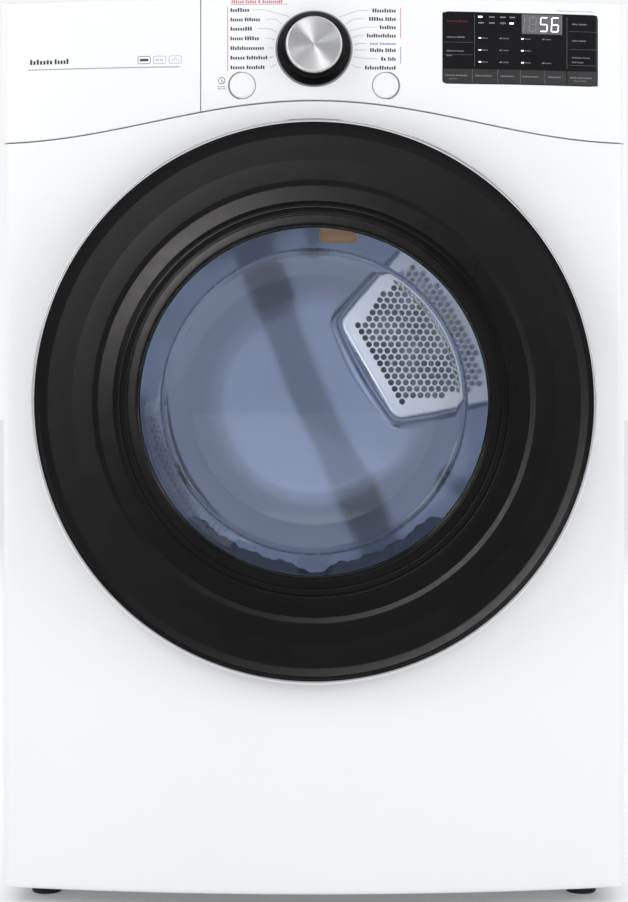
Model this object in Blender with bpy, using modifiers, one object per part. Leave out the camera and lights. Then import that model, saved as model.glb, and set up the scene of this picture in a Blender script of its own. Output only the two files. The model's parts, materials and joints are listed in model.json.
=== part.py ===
"""A front-loading clothes dryer, as separate pieces, for Blender 4.5. Metres, +Z up, the front faces -Y.

The origin is on the floor, under the middle of the dryer's box.
"""

import math

import bmesh
import bpy
from mathutils import Matrix

# ---- driving sizes ----
WIDTH = 0.686
HEIGHT = 0.991
CREST_Y = -0.354  # the foremost line of the bowed front
BACK_Y = 0.360  # the outer face of the rear panel
REAR_REACH = 0.024  # how far the exhaust collar and the terminal cover stand out behind
BOW = 0.035  # how far the middle of the front stands ahead of its side edges
EDGE_RADIUS = 0.012
FOOT_HEIGHT = 0.017
PAN_RIM = 0.014
SHEET = 0.0015
GAP = 0.0003  # between pieces that touch
RUNNING = 0.0006  # around what turns or slides

FASCIA_WALL = 0.003
SEAM_DROP = 0.155  # from the top down to the seam at the side edges
SEAM_RISE = 0.042
SEAM_GAP = 0.0012
PANEL_SEAM_X = -0.123
LID_SKIRT = 0.030
RETURN_DEPTH = 0.019  # from the side edge of the bow back to the side panel

DOOR_Z = 0.552
DOOR_RADIUS = 0.303
DOOR_STANDOUT = 0.030  # of the trim ring ahead of the crest
TRIM_WIDTH = 0.0045
DOOR_BACK_GAP = 0.0025
BEZEL_WIDTH = 0.113  # from the door's rim to the edge of the window
BOWL_DEPTH = 0.095
BOWL_TAPER = 0.022
GLASS = 0.004
DOOR_OVERHANG = 0.0415  # of the door's rim beyond the seat it closes on
SEAT_WIDTH = 0.0255
SEAT_RECESS = 0.005
STRIKE_INSET = 0.0095

DRUM_RADIUS = 0.318
DRUM_FRONT_Y = -0.235
DRUM_REAR_Y = 0.309
BAFFLE_HEIGHT = 0.054
BAFFLE_COUNT = 3
SEAL_WIDTH = 0.015
ROLLER_RADIUS = 0.026
ROLLER_WIDTH = 0.018
ROLLER_ANGLE = math.radians(32)
ROLLER_SHAFT = 0.005

MOTOR_X = 0.120
MOTOR_Z = 0.125
MOTOR_RADIUS = 0.062
MOTOR_SHAFT = 0.005
PULLEY_RADIUS = 0.0095
BELT_Y = 0.0575
BELT_WIDTH = 0.008
BELT_THICK = 0.002
IDLER_X = 0.0
IDLER_Z = 0.190
IDLER_RADIUS = 0.018
ARM_X = -0.120
ARM_Z = 0.130
ARM_THICK = 0.003
SPRING_RADIUS = 0.007
SPRING_WIRE = 0.0012
SPRING_TURNS = 5

WHEEL_RADIUS = 0.075
WHEEL_WIDTH = 0.046
BLADES = 12
EXHAUST_RADIUS = 0.0508
EXHAUST_X = -0.030
EXHAUST_CLEARANCE = 0.0032  # above the base pan's rim

FILTER_WIDTH = 0.240
FILTER_THICK = 0.022
FILTER_TOP_Z = 0.347
FILTER_BOTTOM_Z = 0.150

GRILLE_AXIS = math.radians(30)
GRILLE_INNER = 0.087
GRILLE_HALF = 0.080
GRILLE_FLARE = math.radians(20)
GRILLE_RIM = 0.038  # from its outer arc to the bulkhead rim

DIAL_DROP = 0.057
SKIRT_RADIUS = 0.040
CAP_RADIUS = 0.0303
DIAL_REACH = 0.030
DIAL_SHAFT = 0.003
BUTTON_X = 0.0775
BUTTON_DROP = 0.0965
BUTTON_RADIUS = 0.014
DISPLAY_X = (0.139, 0.312)
DISPLAY_DROP = (0.094, 0.015)

FOOT_INSET = 0.042
FOOT_Y = (-0.262, 0.318)
FOOT_RADIUS = 0.017
FOOT_STEM = 0.005
FOOT_STEM_TOP = 0.052

# ---- worked out from them ----
HALF = WIDTH / 2
FOOT_X = HALF - FOOT_INSET
BULKHEAD_HALF = HALF - 0.018  # the bulkheads stand just inside the side panels' flanges
SEAM_SIDE_Z = HEIGHT - SEAM_DROP
FASCIA_SPAN = (SEAM_SIDE_Z - 0.10, HEIGHT + 0.10)
DIAL_Z = HEIGHT - DIAL_DROP
BUTTON_Z = HEIGHT - BUTTON_DROP
DISPLAY_Z = tuple(HEIGHT - drop for drop in DISPLAY_DROP)
WINDOW_RADIUS = DOOR_RADIUS - BEZEL_WIDTH
BOWL_FLOOR_RADIUS = WINDOW_RADIUS - BOWL_TAPER
SEAT_RADIUS = DOOR_RADIUS - DOOR_OVERHANG
MOUTH_RADIUS = SEAT_RADIUS - SEAT_WIDTH
STRIKE_RADIUS = SEAT_RADIUS - STRIKE_INSET
EDGE_Y = CREST_Y + BOW
BOW_RADIUS = (HALF**2 + BOW**2) / (2 * BOW)
SIDE_FRONT_Y = EDGE_Y + RETURN_DEPTH
REAR_END_Y = BACK_Y + REAR_REACH
BULKHEAD_Y = SIDE_FRONT_Y
SHELF_Y = DRUM_FRONT_Y - 0.005  # back face of the front bulkhead's inner step
SLEEVE_RADIUS = DRUM_RADIUS - SHEET - 0.0105  # of the bulkhead rims inside the drum's ends
REAR_WALL_Y = DRUM_REAR_Y + 0.009
RING_Y = CREST_Y - DOOR_STANDOUT
DOOR_BACK_Y = CREST_Y - DOOR_BACK_GAP
SEAT_Y = CREST_Y + SEAT_RECESS
BOWL_FRONT_Y = RING_Y + 0.016
BOWL_BACK_Y = BOWL_FRONT_Y + BOWL_DEPTH
HINGE_X = DOOR_RADIUS - 0.006
HINGE_Y = CREST_Y + 0.003
GRILLE_OUTER = SLEEVE_RADIUS - GRILLE_RIM
ROLLER_RING = DRUM_RADIUS + GAP + ROLLER_RADIUS
LID_BOTTOM_Z = HEIGHT - LID_SKIRT
EXHAUST_Z = FOOT_HEIGHT + PAN_RIM + EXHAUST_CLEARANCE + EXHAUST_RADIUS
FLOOR_Z = FOOT_HEIGHT + SHEET
FILTER_Y = SHELF_Y - 0.003 - SHEET - FILTER_THICK / 2
BLOWER_Y = (SHELF_Y + 0.0045, SHELF_Y + 0.080)
RINGS = 36
SMALL = 20
DOOR_STEPS = 44


def clear_scene():
    for obj in list(bpy.data.objects):
        bpy.data.objects.remove(obj, do_unlink=True)


def collection(name):
    made = bpy.data.collections.new(name)
    bpy.context.scene.collection.children.link(made)
    return made


clear_scene()
PARTS = collection("clothes_dryer")
CUTTERS = collection("cutters")


def finish(name, color, roughness, metallic=0.0):
    found = bpy.data.materials.get(name)
    if found:
        return found
    material = bpy.data.materials.new(name)
    material.use_nodes = True
    shader = material.node_tree.nodes["Principled BSDF"]
    shader.inputs["Base Color"].default_value = (*color, 1.0)
    shader.inputs["Roughness"].default_value = roughness
    shader.inputs["Metallic"].default_value = metallic
    return material


WHITE = finish("white_enamel", (0.90, 0.90, 0.91), 0.30)
WHITE_PLASTIC = finish("white_plastic", (0.88, 0.88, 0.89), 0.35)
BLACK_GLOSS = finish("black_gloss", (0.02, 0.02, 0.022), 0.12)
DARK = finish("dark_plastic", (0.05, 0.05, 0.055), 0.5)
GREY = finish("grey_plastic", (0.35, 0.36, 0.38), 0.5)
CHROME = finish("chrome", (0.85, 0.86, 0.88), 0.08, 1.0)
SPUN = finish("spun_aluminium", (0.80, 0.80, 0.81), 0.25, 1.0)
STEEL = finish("zinc_steel", (0.62, 0.63, 0.65), 0.40, 1.0)
DRUM_STEEL = finish("drum_steel", (0.55, 0.58, 0.64), 0.30, 1.0)
GLASS_CLEAR = finish("glass", (0.80, 0.86, 0.95), 0.02)
RUBBER = finish("rubber", (0.03, 0.03, 0.03), 0.85)
FELT = finish("felt", (0.42, 0.40, 0.36), 0.95)
BOARD = finish("circuit_board", (0.05, 0.22, 0.12), 0.5)


def place(name, mesh, material, origin=(0.0, 0.0, 0.0)):
    """A new part whose mesh is in world coordinates; its origin is put at the point given."""
    mesh.transform(Matrix.Translation([-value for value in origin]))
    mesh.materials.clear()
    mesh.materials.append(material)
    mesh.shade_smooth()
    mesh.set_sharp_from_angle(angle=math.radians(35))
    obj = bpy.data.objects.new(name, mesh)
    obj.location = origin
    PARTS.objects.link(obj)
    return obj


def as_cutter(obj):
    obj.hide_render = True
    obj.display_type = "WIRE"
    for owner in list(obj.users_collection):
        owner.objects.unlink(obj)
    CUTTERS.objects.link(obj)
    return obj


def boolean(obj, other, operation):
    modifier = obj.modifiers.new(operation.lower(), "BOOLEAN")
    modifier.operation = operation
    modifier.solver = "EXACT"
    modifier.object = as_cutter(other)
    return obj


def cut(obj, *others):
    for other in others:
        boolean(obj, other, "DIFFERENCE")
    return obj


def join(obj, *others):
    for other in others:
        boolean(obj, other, "UNION")
    return obj


def rounded(obj, width, segments=2):
    modifier = obj.modifiers.new("bevel", "BEVEL")
    modifier.width = width
    modifier.segments = segments
    modifier.limit_method = "ANGLE"
    modifier.angle_limit = math.radians(40)
    return obj


def block(name, low, high, material=STEEL, origin=(0.0, 0.0, 0.0)):
    mesh = bpy.data.meshes.new(name)
    shape = bmesh.new()
    bmesh.ops.create_cube(shape, size=1.0)
    bmesh.ops.scale(shape, vec=[b - a for a, b in zip(low, high)], verts=shape.verts)
    bmesh.ops.translate(shape, vec=[(a + b) / 2 for a, b in zip(low, high)], verts=shape.verts)
    shape.to_mesh(mesh)
    shape.free()
    return place(name, mesh, material, origin)


def mesh_of_curve(name, curve):
    """The mesh of a curve with its caps welded on; the curve is removed."""
    guide = bpy.data.objects.new(name, curve)
    CUTTERS.objects.link(guide)
    graph = bpy.context.evaluated_depsgraph_get()
    graph.update()
    mesh = bpy.data.meshes.new_from_object(guide.evaluated_get(graph))
    bpy.data.objects.remove(guide, do_unlink=True)
    bpy.data.curves.remove(curve)
    shape = bmesh.new()
    shape.from_mesh(mesh)
    bmesh.ops.remove_doubles(shape, verts=shape.verts, dist=1e-6)
    bmesh.ops.recalc_face_normals(shape, faces=shape.faces)
    shape.to_mesh(mesh)
    shape.free()
    return mesh


def add_spline(curve, points, closed):
    spline = curve.splines.new("POLY")
    spline.points.add(len(points) - 1)
    for target, point in zip(spline.points, points):
        target.co = (*point, 0.0, 1.0) if len(point) == 2 else (*point, 1.0)
    spline.use_cyclic_u = closed


def plate(name, loops, low, high, material=STEEL, face="Z", origin=(0.0, 0.0, 0.0)):
    """A flat outline with holes, filled from low to high. Face Z: points are (x, y). Face Y: (x, z)."""
    curve = bpy.data.curves.new(name, "CURVE")
    curve.dimensions = "2D"
    curve.fill_mode = "BOTH"
    curve.extrude = (high - low) / 2
    for loop in loops:
        add_spline(curve, loop, True)
    mesh = mesh_of_curve(name, curve)
    middle = (low + high) / 2
    if face == "Y":
        mesh.transform(Matrix.Translation((0, middle, 0)) @ Matrix.Rotation(math.pi / 2, 4, "X"))
    else:
        mesh.transform(Matrix.Translation((0, 0, middle)))
    return place(name, mesh, material, origin)


def wire(name, points, radius, material=STEEL, sides=2, origin=(0.0, 0.0, 0.0)):
    curve = bpy.data.curves.new(name, "CURVE")
    curve.dimensions = "3D"
    curve.bevel_depth = radius
    curve.bevel_resolution = sides
    curve.use_fill_caps = True
    add_spline(curve, points, False)
    return place(name, mesh_of_curve(name, curve), material, origin)


def turned(name, profile, centre, material=STEEL, face="Y", steps=RINGS, start=0.0):
    """A profile of (radius, place along the axis) points, turned about an axis along Y or Z.

    The object's origin is on the axis. A profile that begins and ends on the axis stays open there.
    """
    points = [(r, -along if face == "Y" else along) for r, along in profile]
    area = sum(a[0] * b[1] - b[0] * a[1] for a, b in zip(points, points[1:] + points[:1]))
    if area > 0:
        points.reverse()
    on_axis = points[0][0] == 0 and points[-1][0] == 0
    if not on_axis and 0 in (points[0][0], points[-1][0]):
        raise ValueError(name)
    mesh = bpy.data.meshes.new(name)
    edges = [(i, i + 1) for i in range(len(points) - 1)]
    if not on_axis:
        edges.append((len(points) - 1, 0))
    mesh.from_pydata([(r, 0, z) for r, z in points], edges, [])
    mesh.materials.append(material)
    obj = bpy.data.objects.new(name, mesh)
    obj.location = centre
    obj.rotation_euler = (math.pi / 2, start, 0) if face == "Y" else (0, 0, start)
    PARTS.objects.link(obj)
    screw = obj.modifiers.new("screw", "SCREW")
    screw.axis = "Z"
    screw.angle = 2 * math.pi
    screw.steps = steps
    screw.render_steps = steps
    screw.use_merge_vertices = True
    screw.merge_threshold = 0.00001
    screw.use_smooth_shade = True
    return obj


def disc_cutter(name, x, z, radius, low, high, steps=SMALL):
    return turned(name, [(0, low), (radius, low), (radius, high), (0, high)], (x, 0, z), steps=steps)


def rod(name, x, z, radius, low, high, material=STEEL, steps=SMALL):
    """A plain round bar along Y."""
    return turned(
        name, [(0, low), (radius, low), (radius, high), (0, high)], (x, 0, z), material, steps=steps,
    )


def arc(x, z, radius, first, last, count):
    """Points on an arc, angles in radians from +x towards +z."""
    turns = [first + (last - first) * i / count for i in range(count + 1)]
    return [(x + radius * math.cos(turn), z + radius * math.sin(turn)) for turn in turns]


def circle(x, z, radius, count=SMALL):
    return arc(x, z, radius, 0, 2 * math.pi, count)[:-1]


def rectangle(low, high):
    return [(low[0], low[1]), (high[0], low[1]), (high[0], high[1]), (low[0], high[1])]


# ---- the bowed front ----
def front_line(inset, first=-HALF, last=HALF, count=24):
    """The bowed front in plan, from left to right, with its rounded side edges where it reaches them."""
    centre_y = CREST_Y + BOW_RADIUS
    edge = EDGE_RADIUS - inset
    corner_x = HALF - EDGE_RADIUS
    turn = math.asin(corner_x / (BOW_RADIUS - EDGE_RADIUS))
    corner_y = centre_y - (BOW_RADIUS - EDGE_RADIUS) * math.cos(turn)
    radius = BOW_RADIUS - inset
    low = -turn if first <= -HALF else math.asin(first / radius)
    high = turn if last >= HALF else math.asin(last / radius)
    line = [(radius * math.sin(a), centre_y - radius * math.cos(a)) for a in
            (low + (high - low) * i / count for i in range(count + 1))]
    quarter = math.pi / 2 - turn
    if first <= -HALF:
        corner = arc(-corner_x, corner_y, edge, math.pi, math.pi + quarter, 4)
        line = corner[:-1] + line
    if last >= HALF:
        corner = arc(corner_x, corner_y, edge, -quarter, 0, 4)
        line = line + corner[1:]
    return line


def front_y(x):
    """Where the outer face of the bowed front is at x."""
    return CREST_Y + BOW_RADIUS - math.sqrt(BOW_RADIUS**2 - x**2)


def front_strip(outer, inner, back_y):
    """The plan of a sheet that follows the front and turns back along both sides to back_y."""
    outside = front_line(outer)
    inside = front_line(inner)
    outside = [(outer - HALF, back_y)] + outside + [(HALF - outer, back_y)]
    inside = [(inner - HALF, back_y)] + inside + [(HALF - inner, back_y)]
    return outside + inside[::-1]


def seam_z(x):
    wave = (1 + math.cos(math.pi * x / HALF)) / 2
    return SEAM_SIDE_Z + SEAM_RISE * wave


def seam_cutter(name, offset, far_z):
    """What lies on one side of the curved seam, moved from it by the offset."""
    reach = HALF + 0.02
    line = [(x, seam_z(max(-HALF, min(HALF, x))) + offset) for x in
            (-reach + 2 * reach * i / 30 for i in range(31))]
    loop = line + [(reach, far_z), (-reach, far_z)]
    return plate(name, [loop], CREST_Y - 0.05, SIDE_FRONT_Y + 0.05, face="Y")


# ---- cabinet ----
def base_pan():
    low = (-HALF + SHEET + GAP, SIDE_FRONT_Y + SHEET + 0.001, FOOT_HEIGHT)
    high = (HALF - SHEET - GAP, BACK_Y - 2 * SHEET - 0.001, FOOT_HEIGHT + PAN_RIM)
    pan = block("base_pan", low, high)
    inside = block(
        "pan_inside", (low[0] + SHEET, low[1] + SHEET, FLOOR_Z),
        (high[0] - SHEET, high[1] - SHEET, 0.1),
    )
    cut(pan, inside)
    for x in (-FOOT_X, FOOT_X):
        for y in FOOT_Y:
            bore = FOOT_STEM + RUNNING
            hole = turned(
                "foot_hole", [(0, 0), (bore, 0), (bore, 0.06), (0, 0.06)], (x, y, 0), face="Z",
                steps=12,
            )
            cut(pan, hole)


def side_panel(name, side):
    """A sheet with a flange turned in at its front and rear edges."""
    front = SIDE_FRONT_Y + GAP
    back = BACK_Y - SHEET - GAP
    out = side * HALF
    inner = side * (HALF - SHEET)
    lip = side * (HALF - 0.0165)
    outline = [(out, front), (out, back), (lip, back), (lip, back - SHEET), (inner, back - SHEET),
               (inner, front + SHEET), (lip, front + SHEET), (lip, front)]
    plate(name, [outline], FOOT_HEIGHT, LID_BOTTOM_Z - GAP, WHITE)


def top_panel():
    front = SIDE_FRONT_Y + GAP
    lid = block("top_panel", (-HALF, front, LID_BOTTOM_Z), (HALF, BACK_Y, HEIGHT), WHITE)
    inside = block(
        "lid_inside", (SHEET - HALF, front + SHEET, LID_BOTTOM_Z - 0.05),
        (HALF - SHEET, BACK_Y - SHEET, HEIGHT - SHEET),
    )
    cut(lid, inside)


def rear_panel():
    low = (-HALF + 0.0005, FOOT_HEIGHT)
    high = (HALF - 0.0005, LID_BOTTOM_Z - GAP)
    loops = [rectangle(low, high), circle(EXHAUST_X, EXHAUST_Z, EXHAUST_RADIUS + RUNNING, 24)]
    for row in range(6):
        z = 0.30 + 0.045 * row
        loops.append(rectangle((0.073 - HALF, z), (0.173 - HALF, z + 0.006)))
    plate("rear_panel", loops, BACK_Y - SHEET, BACK_Y, WHITE, face="Y")


def terminal_cover():
    low = (HALF - 0.173, BACK_Y + GAP, HEIGHT - 0.191)
    high = (HALF - 0.063, REAR_END_Y, HEIGHT - 0.091)
    cover = block("terminal_cover", low, high)
    inside = block(
        "terminal_inside", (low[0] + SHEET, 0.3, low[2] - 0.01),
        (high[0] - SHEET, high[1] - SHEET, high[2] - SHEET),
    )
    cut(cover, inside)


def front_panel():
    panel = plate("front_panel", [front_strip(0, SHEET, SIDE_FRONT_Y)], FOOT_HEIGHT, HEIGHT - 0.05, WHITE)
    cut(panel, seam_cutter("above_seam", -SEAM_GAP / 2, HEIGHT + 0.05))
    wall = SEAT_RADIUS - SHEET
    cut(panel, disc_cutter("panel_opening", 0, DOOR_Z, wall + SHEET / 2, CREST_Y - 0.02, 0, RINGS))
    profile = [
        (SEAT_RADIUS, CREST_Y + 0.001), (SEAT_RADIUS, front_y(SEAT_RADIUS) + 0.006),
        (wall, front_y(SEAT_RADIUS) + 0.006), (wall, SEAT_Y + SHEET),
        (MOUTH_RADIUS + SHEET, SEAT_Y + SHEET), (MOUTH_RADIUS + SHEET, BULKHEAD_Y - GAP),
        (MOUTH_RADIUS, BULKHEAD_Y - GAP), (MOUTH_RADIUS, SEAT_Y), (wall, SEAT_Y),
        (wall, CREST_Y + 0.001),
    ]
    join(panel, turned("door_seat", profile, (0, 0, DOOR_Z)))
    toe = [(SHEET / 2 - HALF, SIDE_FRONT_Y)] + front_line(SHEET / 2) + [(HALF - SHEET / 2, SIDE_FRONT_Y)]
    join(panel, plate("toe_flange", [toe], FOOT_HEIGHT, FLOOR_Z))
    x = -STRIKE_RADIUS
    low = (x - 0.005, SEAT_Y - 0.003, DOOR_Z - 0.016)
    cut(panel, block("strike_slot", low, (x + 0.0055, SEAT_Y + 0.01, DOOR_Z + 0.016)))


def door_catch():
    """The catch sits behind the slot in the door seat and holds the strike between two jaws."""
    x = -STRIKE_RADIUS
    low = (x - 0.0052, SEAT_Y + SHEET + GAP, DOOR_Z - 0.024)
    catch = block("door_catch", low, (x + 0.0105, low[1] + 0.024, DOOR_Z + 0.024), DARK)
    cut(
        catch,
        block(
            "catch_slot", (x - 0.0035, low[1] - 0.01, DOOR_Z - 0.016),
            (x + 0.0045, low[1] + 0.0215, DOOR_Z + 0.016),
        ),
    )


def feet():
    for row, y in zip(("front", "rear"), FOOT_Y):
        for side, x in (("left", -FOOT_X), ("right", FOOT_X)):
            pad = FOOT_RADIUS
            profile = [(0, 0), (pad, 0), (pad, 0.005), (0.0135, 0.0075), (0.0135, FOOT_HEIGHT - GAP),
                       (FOOT_STEM, FOOT_HEIGHT - GAP), (FOOT_STEM, FOOT_STEM_TOP), (0, FOOT_STEM_TOP)]
            turned(f"foot_{row}_{side}", profile, (x, y, 0), DARK, face="Z", steps=12)


# ---- control panel ----
def fascia_body(name):
    """The hollow bowed housing above the seam, open behind and below."""
    outside = [(-HALF, SIDE_FRONT_Y)] + front_line(0) + [(HALF, SIDE_FRONT_Y)]
    body = plate(name, [outside], SEAM_SIDE_Z - 0.01, HEIGHT, WHITE_PLASTIC)
    back = SIDE_FRONT_Y + 0.02
    inside = [(FASCIA_WALL - HALF, back)] + front_line(FASCIA_WALL) + [(HALF - FASCIA_WALL, back)]
    cut(body, plate("fascia_inside", [inside], SEAM_SIDE_Z - 0.05, HEIGHT - FASCIA_WALL))
    cut(body, seam_cutter("below_seam", SEAM_GAP / 2, SEAM_SIDE_Z - 0.08))
    return body


def box_around(name, x, z):
    return block(name, (x[0], CREST_Y - 0.05, z[0]), (x[1], SIDE_FRONT_Y + 0.03, z[1]))


def control_fascia():
    body = fascia_body("control_fascia")
    cut(body, box_around("left_of_seam", (-HALF - 0.02, PANEL_SEAM_X + 0.0004), FASCIA_SPAN))
    cut(body, box_around("display_opening", DISPLAY_X, DISPLAY_Z))
    for x in (-BUTTON_X, BUTTON_X):
        cut(body, disc_cutter("button_hole", x, BUTTON_Z, BUTTON_RADIUS + RUNNING, CREST_Y - 0.03, EDGE_Y))
    cut(body, disc_cutter("dial_hole", 0, DIAL_Z, 0.012, CREST_Y - 0.03, EDGE_Y))


def fascia_left_panel():
    body = fascia_body("fascia_left_panel")
    cut(body, box_around("right_of_seam", (PANEL_SEAM_X - 0.0004, HALF + 0.02), FASCIA_SPAN))


def display_panel():
    """A dark lens that fills the opening and follows the bow."""
    first, last = DISPLAY_X[0] + GAP, DISPLAY_X[1] - GAP
    face = front_line(0.0, first, last, 8)
    back = front_line(0.005, first, last, 8)
    plate("display_panel", [face + back[::-1]], DISPLAY_Z[0] + GAP, DISPLAY_Z[1] - GAP, BLACK_GLOSS)


def control_board():
    y = front_y(DISPLAY_X[1]) + 0.016
    block(
        "control_board", (DISPLAY_X[0] - 0.01, y, DISPLAY_Z[0] + 0.002),
        (DISPLAY_X[1], y + 0.0016, DISPLAY_Z[1] - 0.002), BOARD,
    )


def dial():
    """The encoder behind the fascia; the skirt and the cap turn on its shaft."""
    back = CREST_Y + FASCIA_WALL + GAP
    front = CREST_Y - DIAL_REACH
    encoder = [(0, front + 0.010), (DIAL_SHAFT, front + 0.010), (DIAL_SHAFT, back), (0.015, back),
               (0.015, back + 0.014), (0, back + 0.014)]
    turned("dial_encoder", encoder, (0, 0, DIAL_Z), DARK, steps=SMALL)
    bore = DIAL_SHAFT + RUNNING
    base = CREST_Y - 0.0012
    skirt = [
        (bore, base), (SKIRT_RADIUS, base), (SKIRT_RADIUS, base - 0.003),
        (CAP_RADIUS + 0.0015, base - 0.010), (CAP_RADIUS + 0.0005, base - 0.012), (bore, base - 0.012),
    ]
    turned("dial_skirt", skirt, (0, 0, DIAL_Z), BLACK_GLOSS, steps=32)
    seat = base - 0.012 - GAP
    cap = [(0, front), (CAP_RADIUS - 0.003, front), (CAP_RADIUS, front + 0.0025), (CAP_RADIUS, seat),
           (bore, seat), (bore, front + 0.009), (0, front + 0.009)]
    turned("dial_cap", cap, (0, 0, DIAL_Z), SPUN, steps=32)


def push_button(name, x):
    proud = front_y(x) - 0.002
    back = front_y(x) + 0.010
    profile = [
        (0, proud), (BUTTON_RADIUS - 0.001, proud), (BUTTON_RADIUS, proud + 0.001),
        (BUTTON_RADIUS, back), (0, back),
    ]
    turned(name, profile, (x, 0, BUTTON_Z), WHITE_PLASTIC, steps=SMALL)


# ---- drum ----
def front_bulkhead():
    half = BULKHEAD_HALF
    reach = DOOR_Z + SLEEVE_RADIUS + 0.008
    outline = [
        (-half, 0.10), (half, 0.10), (half, reach - 0.030), (0.10, reach), (-0.10, reach),
        (-half, reach - 0.030),
    ]
    opening = circle(0, DOOR_Z, SLEEVE_RADIUS - SHEET / 2, RINGS)
    wall = plate("front_bulkhead", [outline, opening], BULKHEAD_Y, BULKHEAD_Y + SHEET, WHITE, face="Y")
    inner = MOUTH_RADIUS + SHEET + 0.0005
    outer = SLEEVE_RADIUS
    profile = [
        (inner, BULKHEAD_Y), (inner, SHELF_Y + SHEET), (outer - SHEET, SHELF_Y + SHEET),
        (outer - SHEET, DRUM_FRONT_Y + 0.020), (outer, DRUM_FRONT_Y + 0.020), (outer, BULKHEAD_Y),
        (outer - SHEET, BULKHEAD_Y), (outer - SHEET, SHELF_Y), (inner + SHEET, SHELF_Y),
        (inner + SHEET, BULKHEAD_Y),
    ]
    join(wall, turned("bulkhead_rims", profile, (0, 0, DOOR_Z)))
    half = FILTER_WIDTH / 2 + 0.003
    thick = FILTER_THICK / 2 + 0.0015
    cut(wall, block("filter_slot", (-half, FILTER_Y - thick, 0.20), (half, FILTER_Y + thick, 0.36)))


def grille_outline(inset):
    """A fan in the upper right of the rear wall: a straight inner edge, flared sides and an outer arc."""
    start = GRILLE_INNER + inset
    half = GRILLE_HALF - inset
    outer = GRILLE_OUTER - inset
    step = (math.cos(GRILLE_FLARE), math.sin(GRILLE_FLARE))
    along = start * step[0] + half * step[1]
    reach = math.sqrt(along**2 + outer**2 - start**2 - half**2) - along
    spread = math.atan2(half + reach * step[1], start + reach * step[0])
    corners = [(start, half), (start, -half)] + arc(0, 0, outer, -spread, spread, 8)
    cos, sin = math.cos(GRILLE_AXIS), math.sin(GRILLE_AXIS)
    return [(a * cos - b * sin, DOOR_Z + a * sin + b * cos) for a, b in corners]


def rear_bulkhead():
    loops = [
        rectangle((-BULKHEAD_HALF, 0.20), (BULKHEAD_HALF, DOOR_Z + DRUM_RADIUS + 0.01)),
        grille_outline(0.012),
    ]
    wall = plate("rear_bulkhead", loops, REAR_WALL_Y, REAR_WALL_Y + SHEET, DRUM_STEEL, face="Y")
    outer = SLEEVE_RADIUS
    rim = [
        (outer, DRUM_REAR_Y - 0.020), (outer, REAR_WALL_Y + SHEET / 2),
        (outer - SHEET, REAR_WALL_Y + SHEET / 2), (outer - SHEET, DRUM_REAR_Y - 0.020),
    ]
    join(wall, turned("rear_rim", rim, (0, 0, DOOR_Z)))


def air_inlet_grille():
    """A raised pan with rows of round holes."""
    pitch = 0.034
    radius = 0.011
    cos, sin = math.cos(GRILLE_AXIS), math.sin(GRILLE_AXIS)
    loops = [grille_outline(0)]
    for row in range(4):
        along = GRILLE_INNER + 0.030 + pitch * row
        half = GRILLE_HALF + (along - GRILLE_INNER) * math.tan(GRILLE_FLARE) - 0.026
        count = int(2 * half / pitch)
        for i in range(count + 1):
            across = (i - count / 2) * pitch
            if math.hypot(along, across) < GRILLE_OUTER - 0.022:
                loops.append(
                    circle(along * cos - across * sin, DOOR_Z + along * sin + across * cos, radius, 6),
                )
    plate("air_inlet_grille", loops, REAR_WALL_Y - GAP - 0.003, REAR_WALL_Y - GAP, STEEL, face="Y")


def felt_seal(name, low):
    inner = SLEEVE_RADIUS + GAP
    outer = DRUM_RADIUS - SHEET - RUNNING
    profile = [(inner, low), (outer, low), (outer, low + SEAL_WIDTH), (inner, low + SEAL_WIDTH)]
    turned(name, profile, (0, 0, DOOR_Z), FELT)


def drum():
    inner = DRUM_RADIUS - SHEET
    profile = [
        (DRUM_RADIUS, DRUM_FRONT_Y), (DRUM_RADIUS, DRUM_REAR_Y), (inner, DRUM_REAR_Y),
        (inner, DRUM_FRONT_Y),
    ]
    turned("drum", profile, (0, 0, DOOR_Z), DRUM_STEEL, steps=56)


def baffle_outline():
    """A lifter in section, about the drum's axis, with its foot on the drum's wall."""
    foot = DRUM_RADIUS - SHEET - RUNNING
    spread = math.asin(0.036 / foot)
    base = arc(0, 0, foot, -spread, spread, 4)
    tip = foot - BAFFLE_HEIGHT
    return base + [
        (tip + 0.018, 0.020), (tip + 0.004, 0.012), (tip, 0.005), (tip, -0.005), (tip + 0.004, -0.012),
        (tip + 0.018, -0.020),
    ]


def drum_baffles():
    low, high = DRUM_FRONT_Y + 0.045, DRUM_REAR_Y - 0.045
    for i in range(BAFFLE_COUNT):
        turn = math.radians(90 + 360 * i / BAFFLE_COUNT)
        cos, sin = math.cos(turn), math.sin(turn)
        outline = [(a * cos - b * sin, DOOR_Z + a * sin + b * cos) for a, b in baffle_outline()]
        plate(f"drum_baffle_{i + 1}", [outline], low, high, GREY, face="Y", origin=(0, 0, DOOR_Z))


def rollers():
    y = DRUM_REAR_Y - 0.014
    half = ROLLER_WIDTH / 2
    for name, side in (("left", -1), ("right", 1)):
        x = side * ROLLER_RING * math.sin(ROLLER_ANGLE)
        z = DOOR_Z - ROLLER_RING * math.cos(ROLLER_ANGLE)
        bore = ROLLER_SHAFT + RUNNING
        profile = [
            (bore, y - half - 0.002), (0.012, y - half - 0.002), (0.014, y - half),
            (ROLLER_RADIUS - 0.001, y - half), (ROLLER_RADIUS, y - half + 0.001),
            (ROLLER_RADIUS, y + half - 0.001), (ROLLER_RADIUS - 0.001, y + half), (bore, y + half),
        ]
        turned(f"drum_roller_{name}", profile, (x, 0, z), RUBBER, steps=20)
        shaft = [(0, y - half - 0.006), (ROLLER_SHAFT, y - half - 0.006), (ROLLER_SHAFT, y + half + 0.004),
                 (0.010, y + half + 0.004), (0.010, REAR_WALL_Y - GAP), (0, REAR_WALL_Y - GAP)]
        turned(f"roller_shaft_{name}", shaft, (x, 0, z), STEEL, steps=12)


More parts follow.
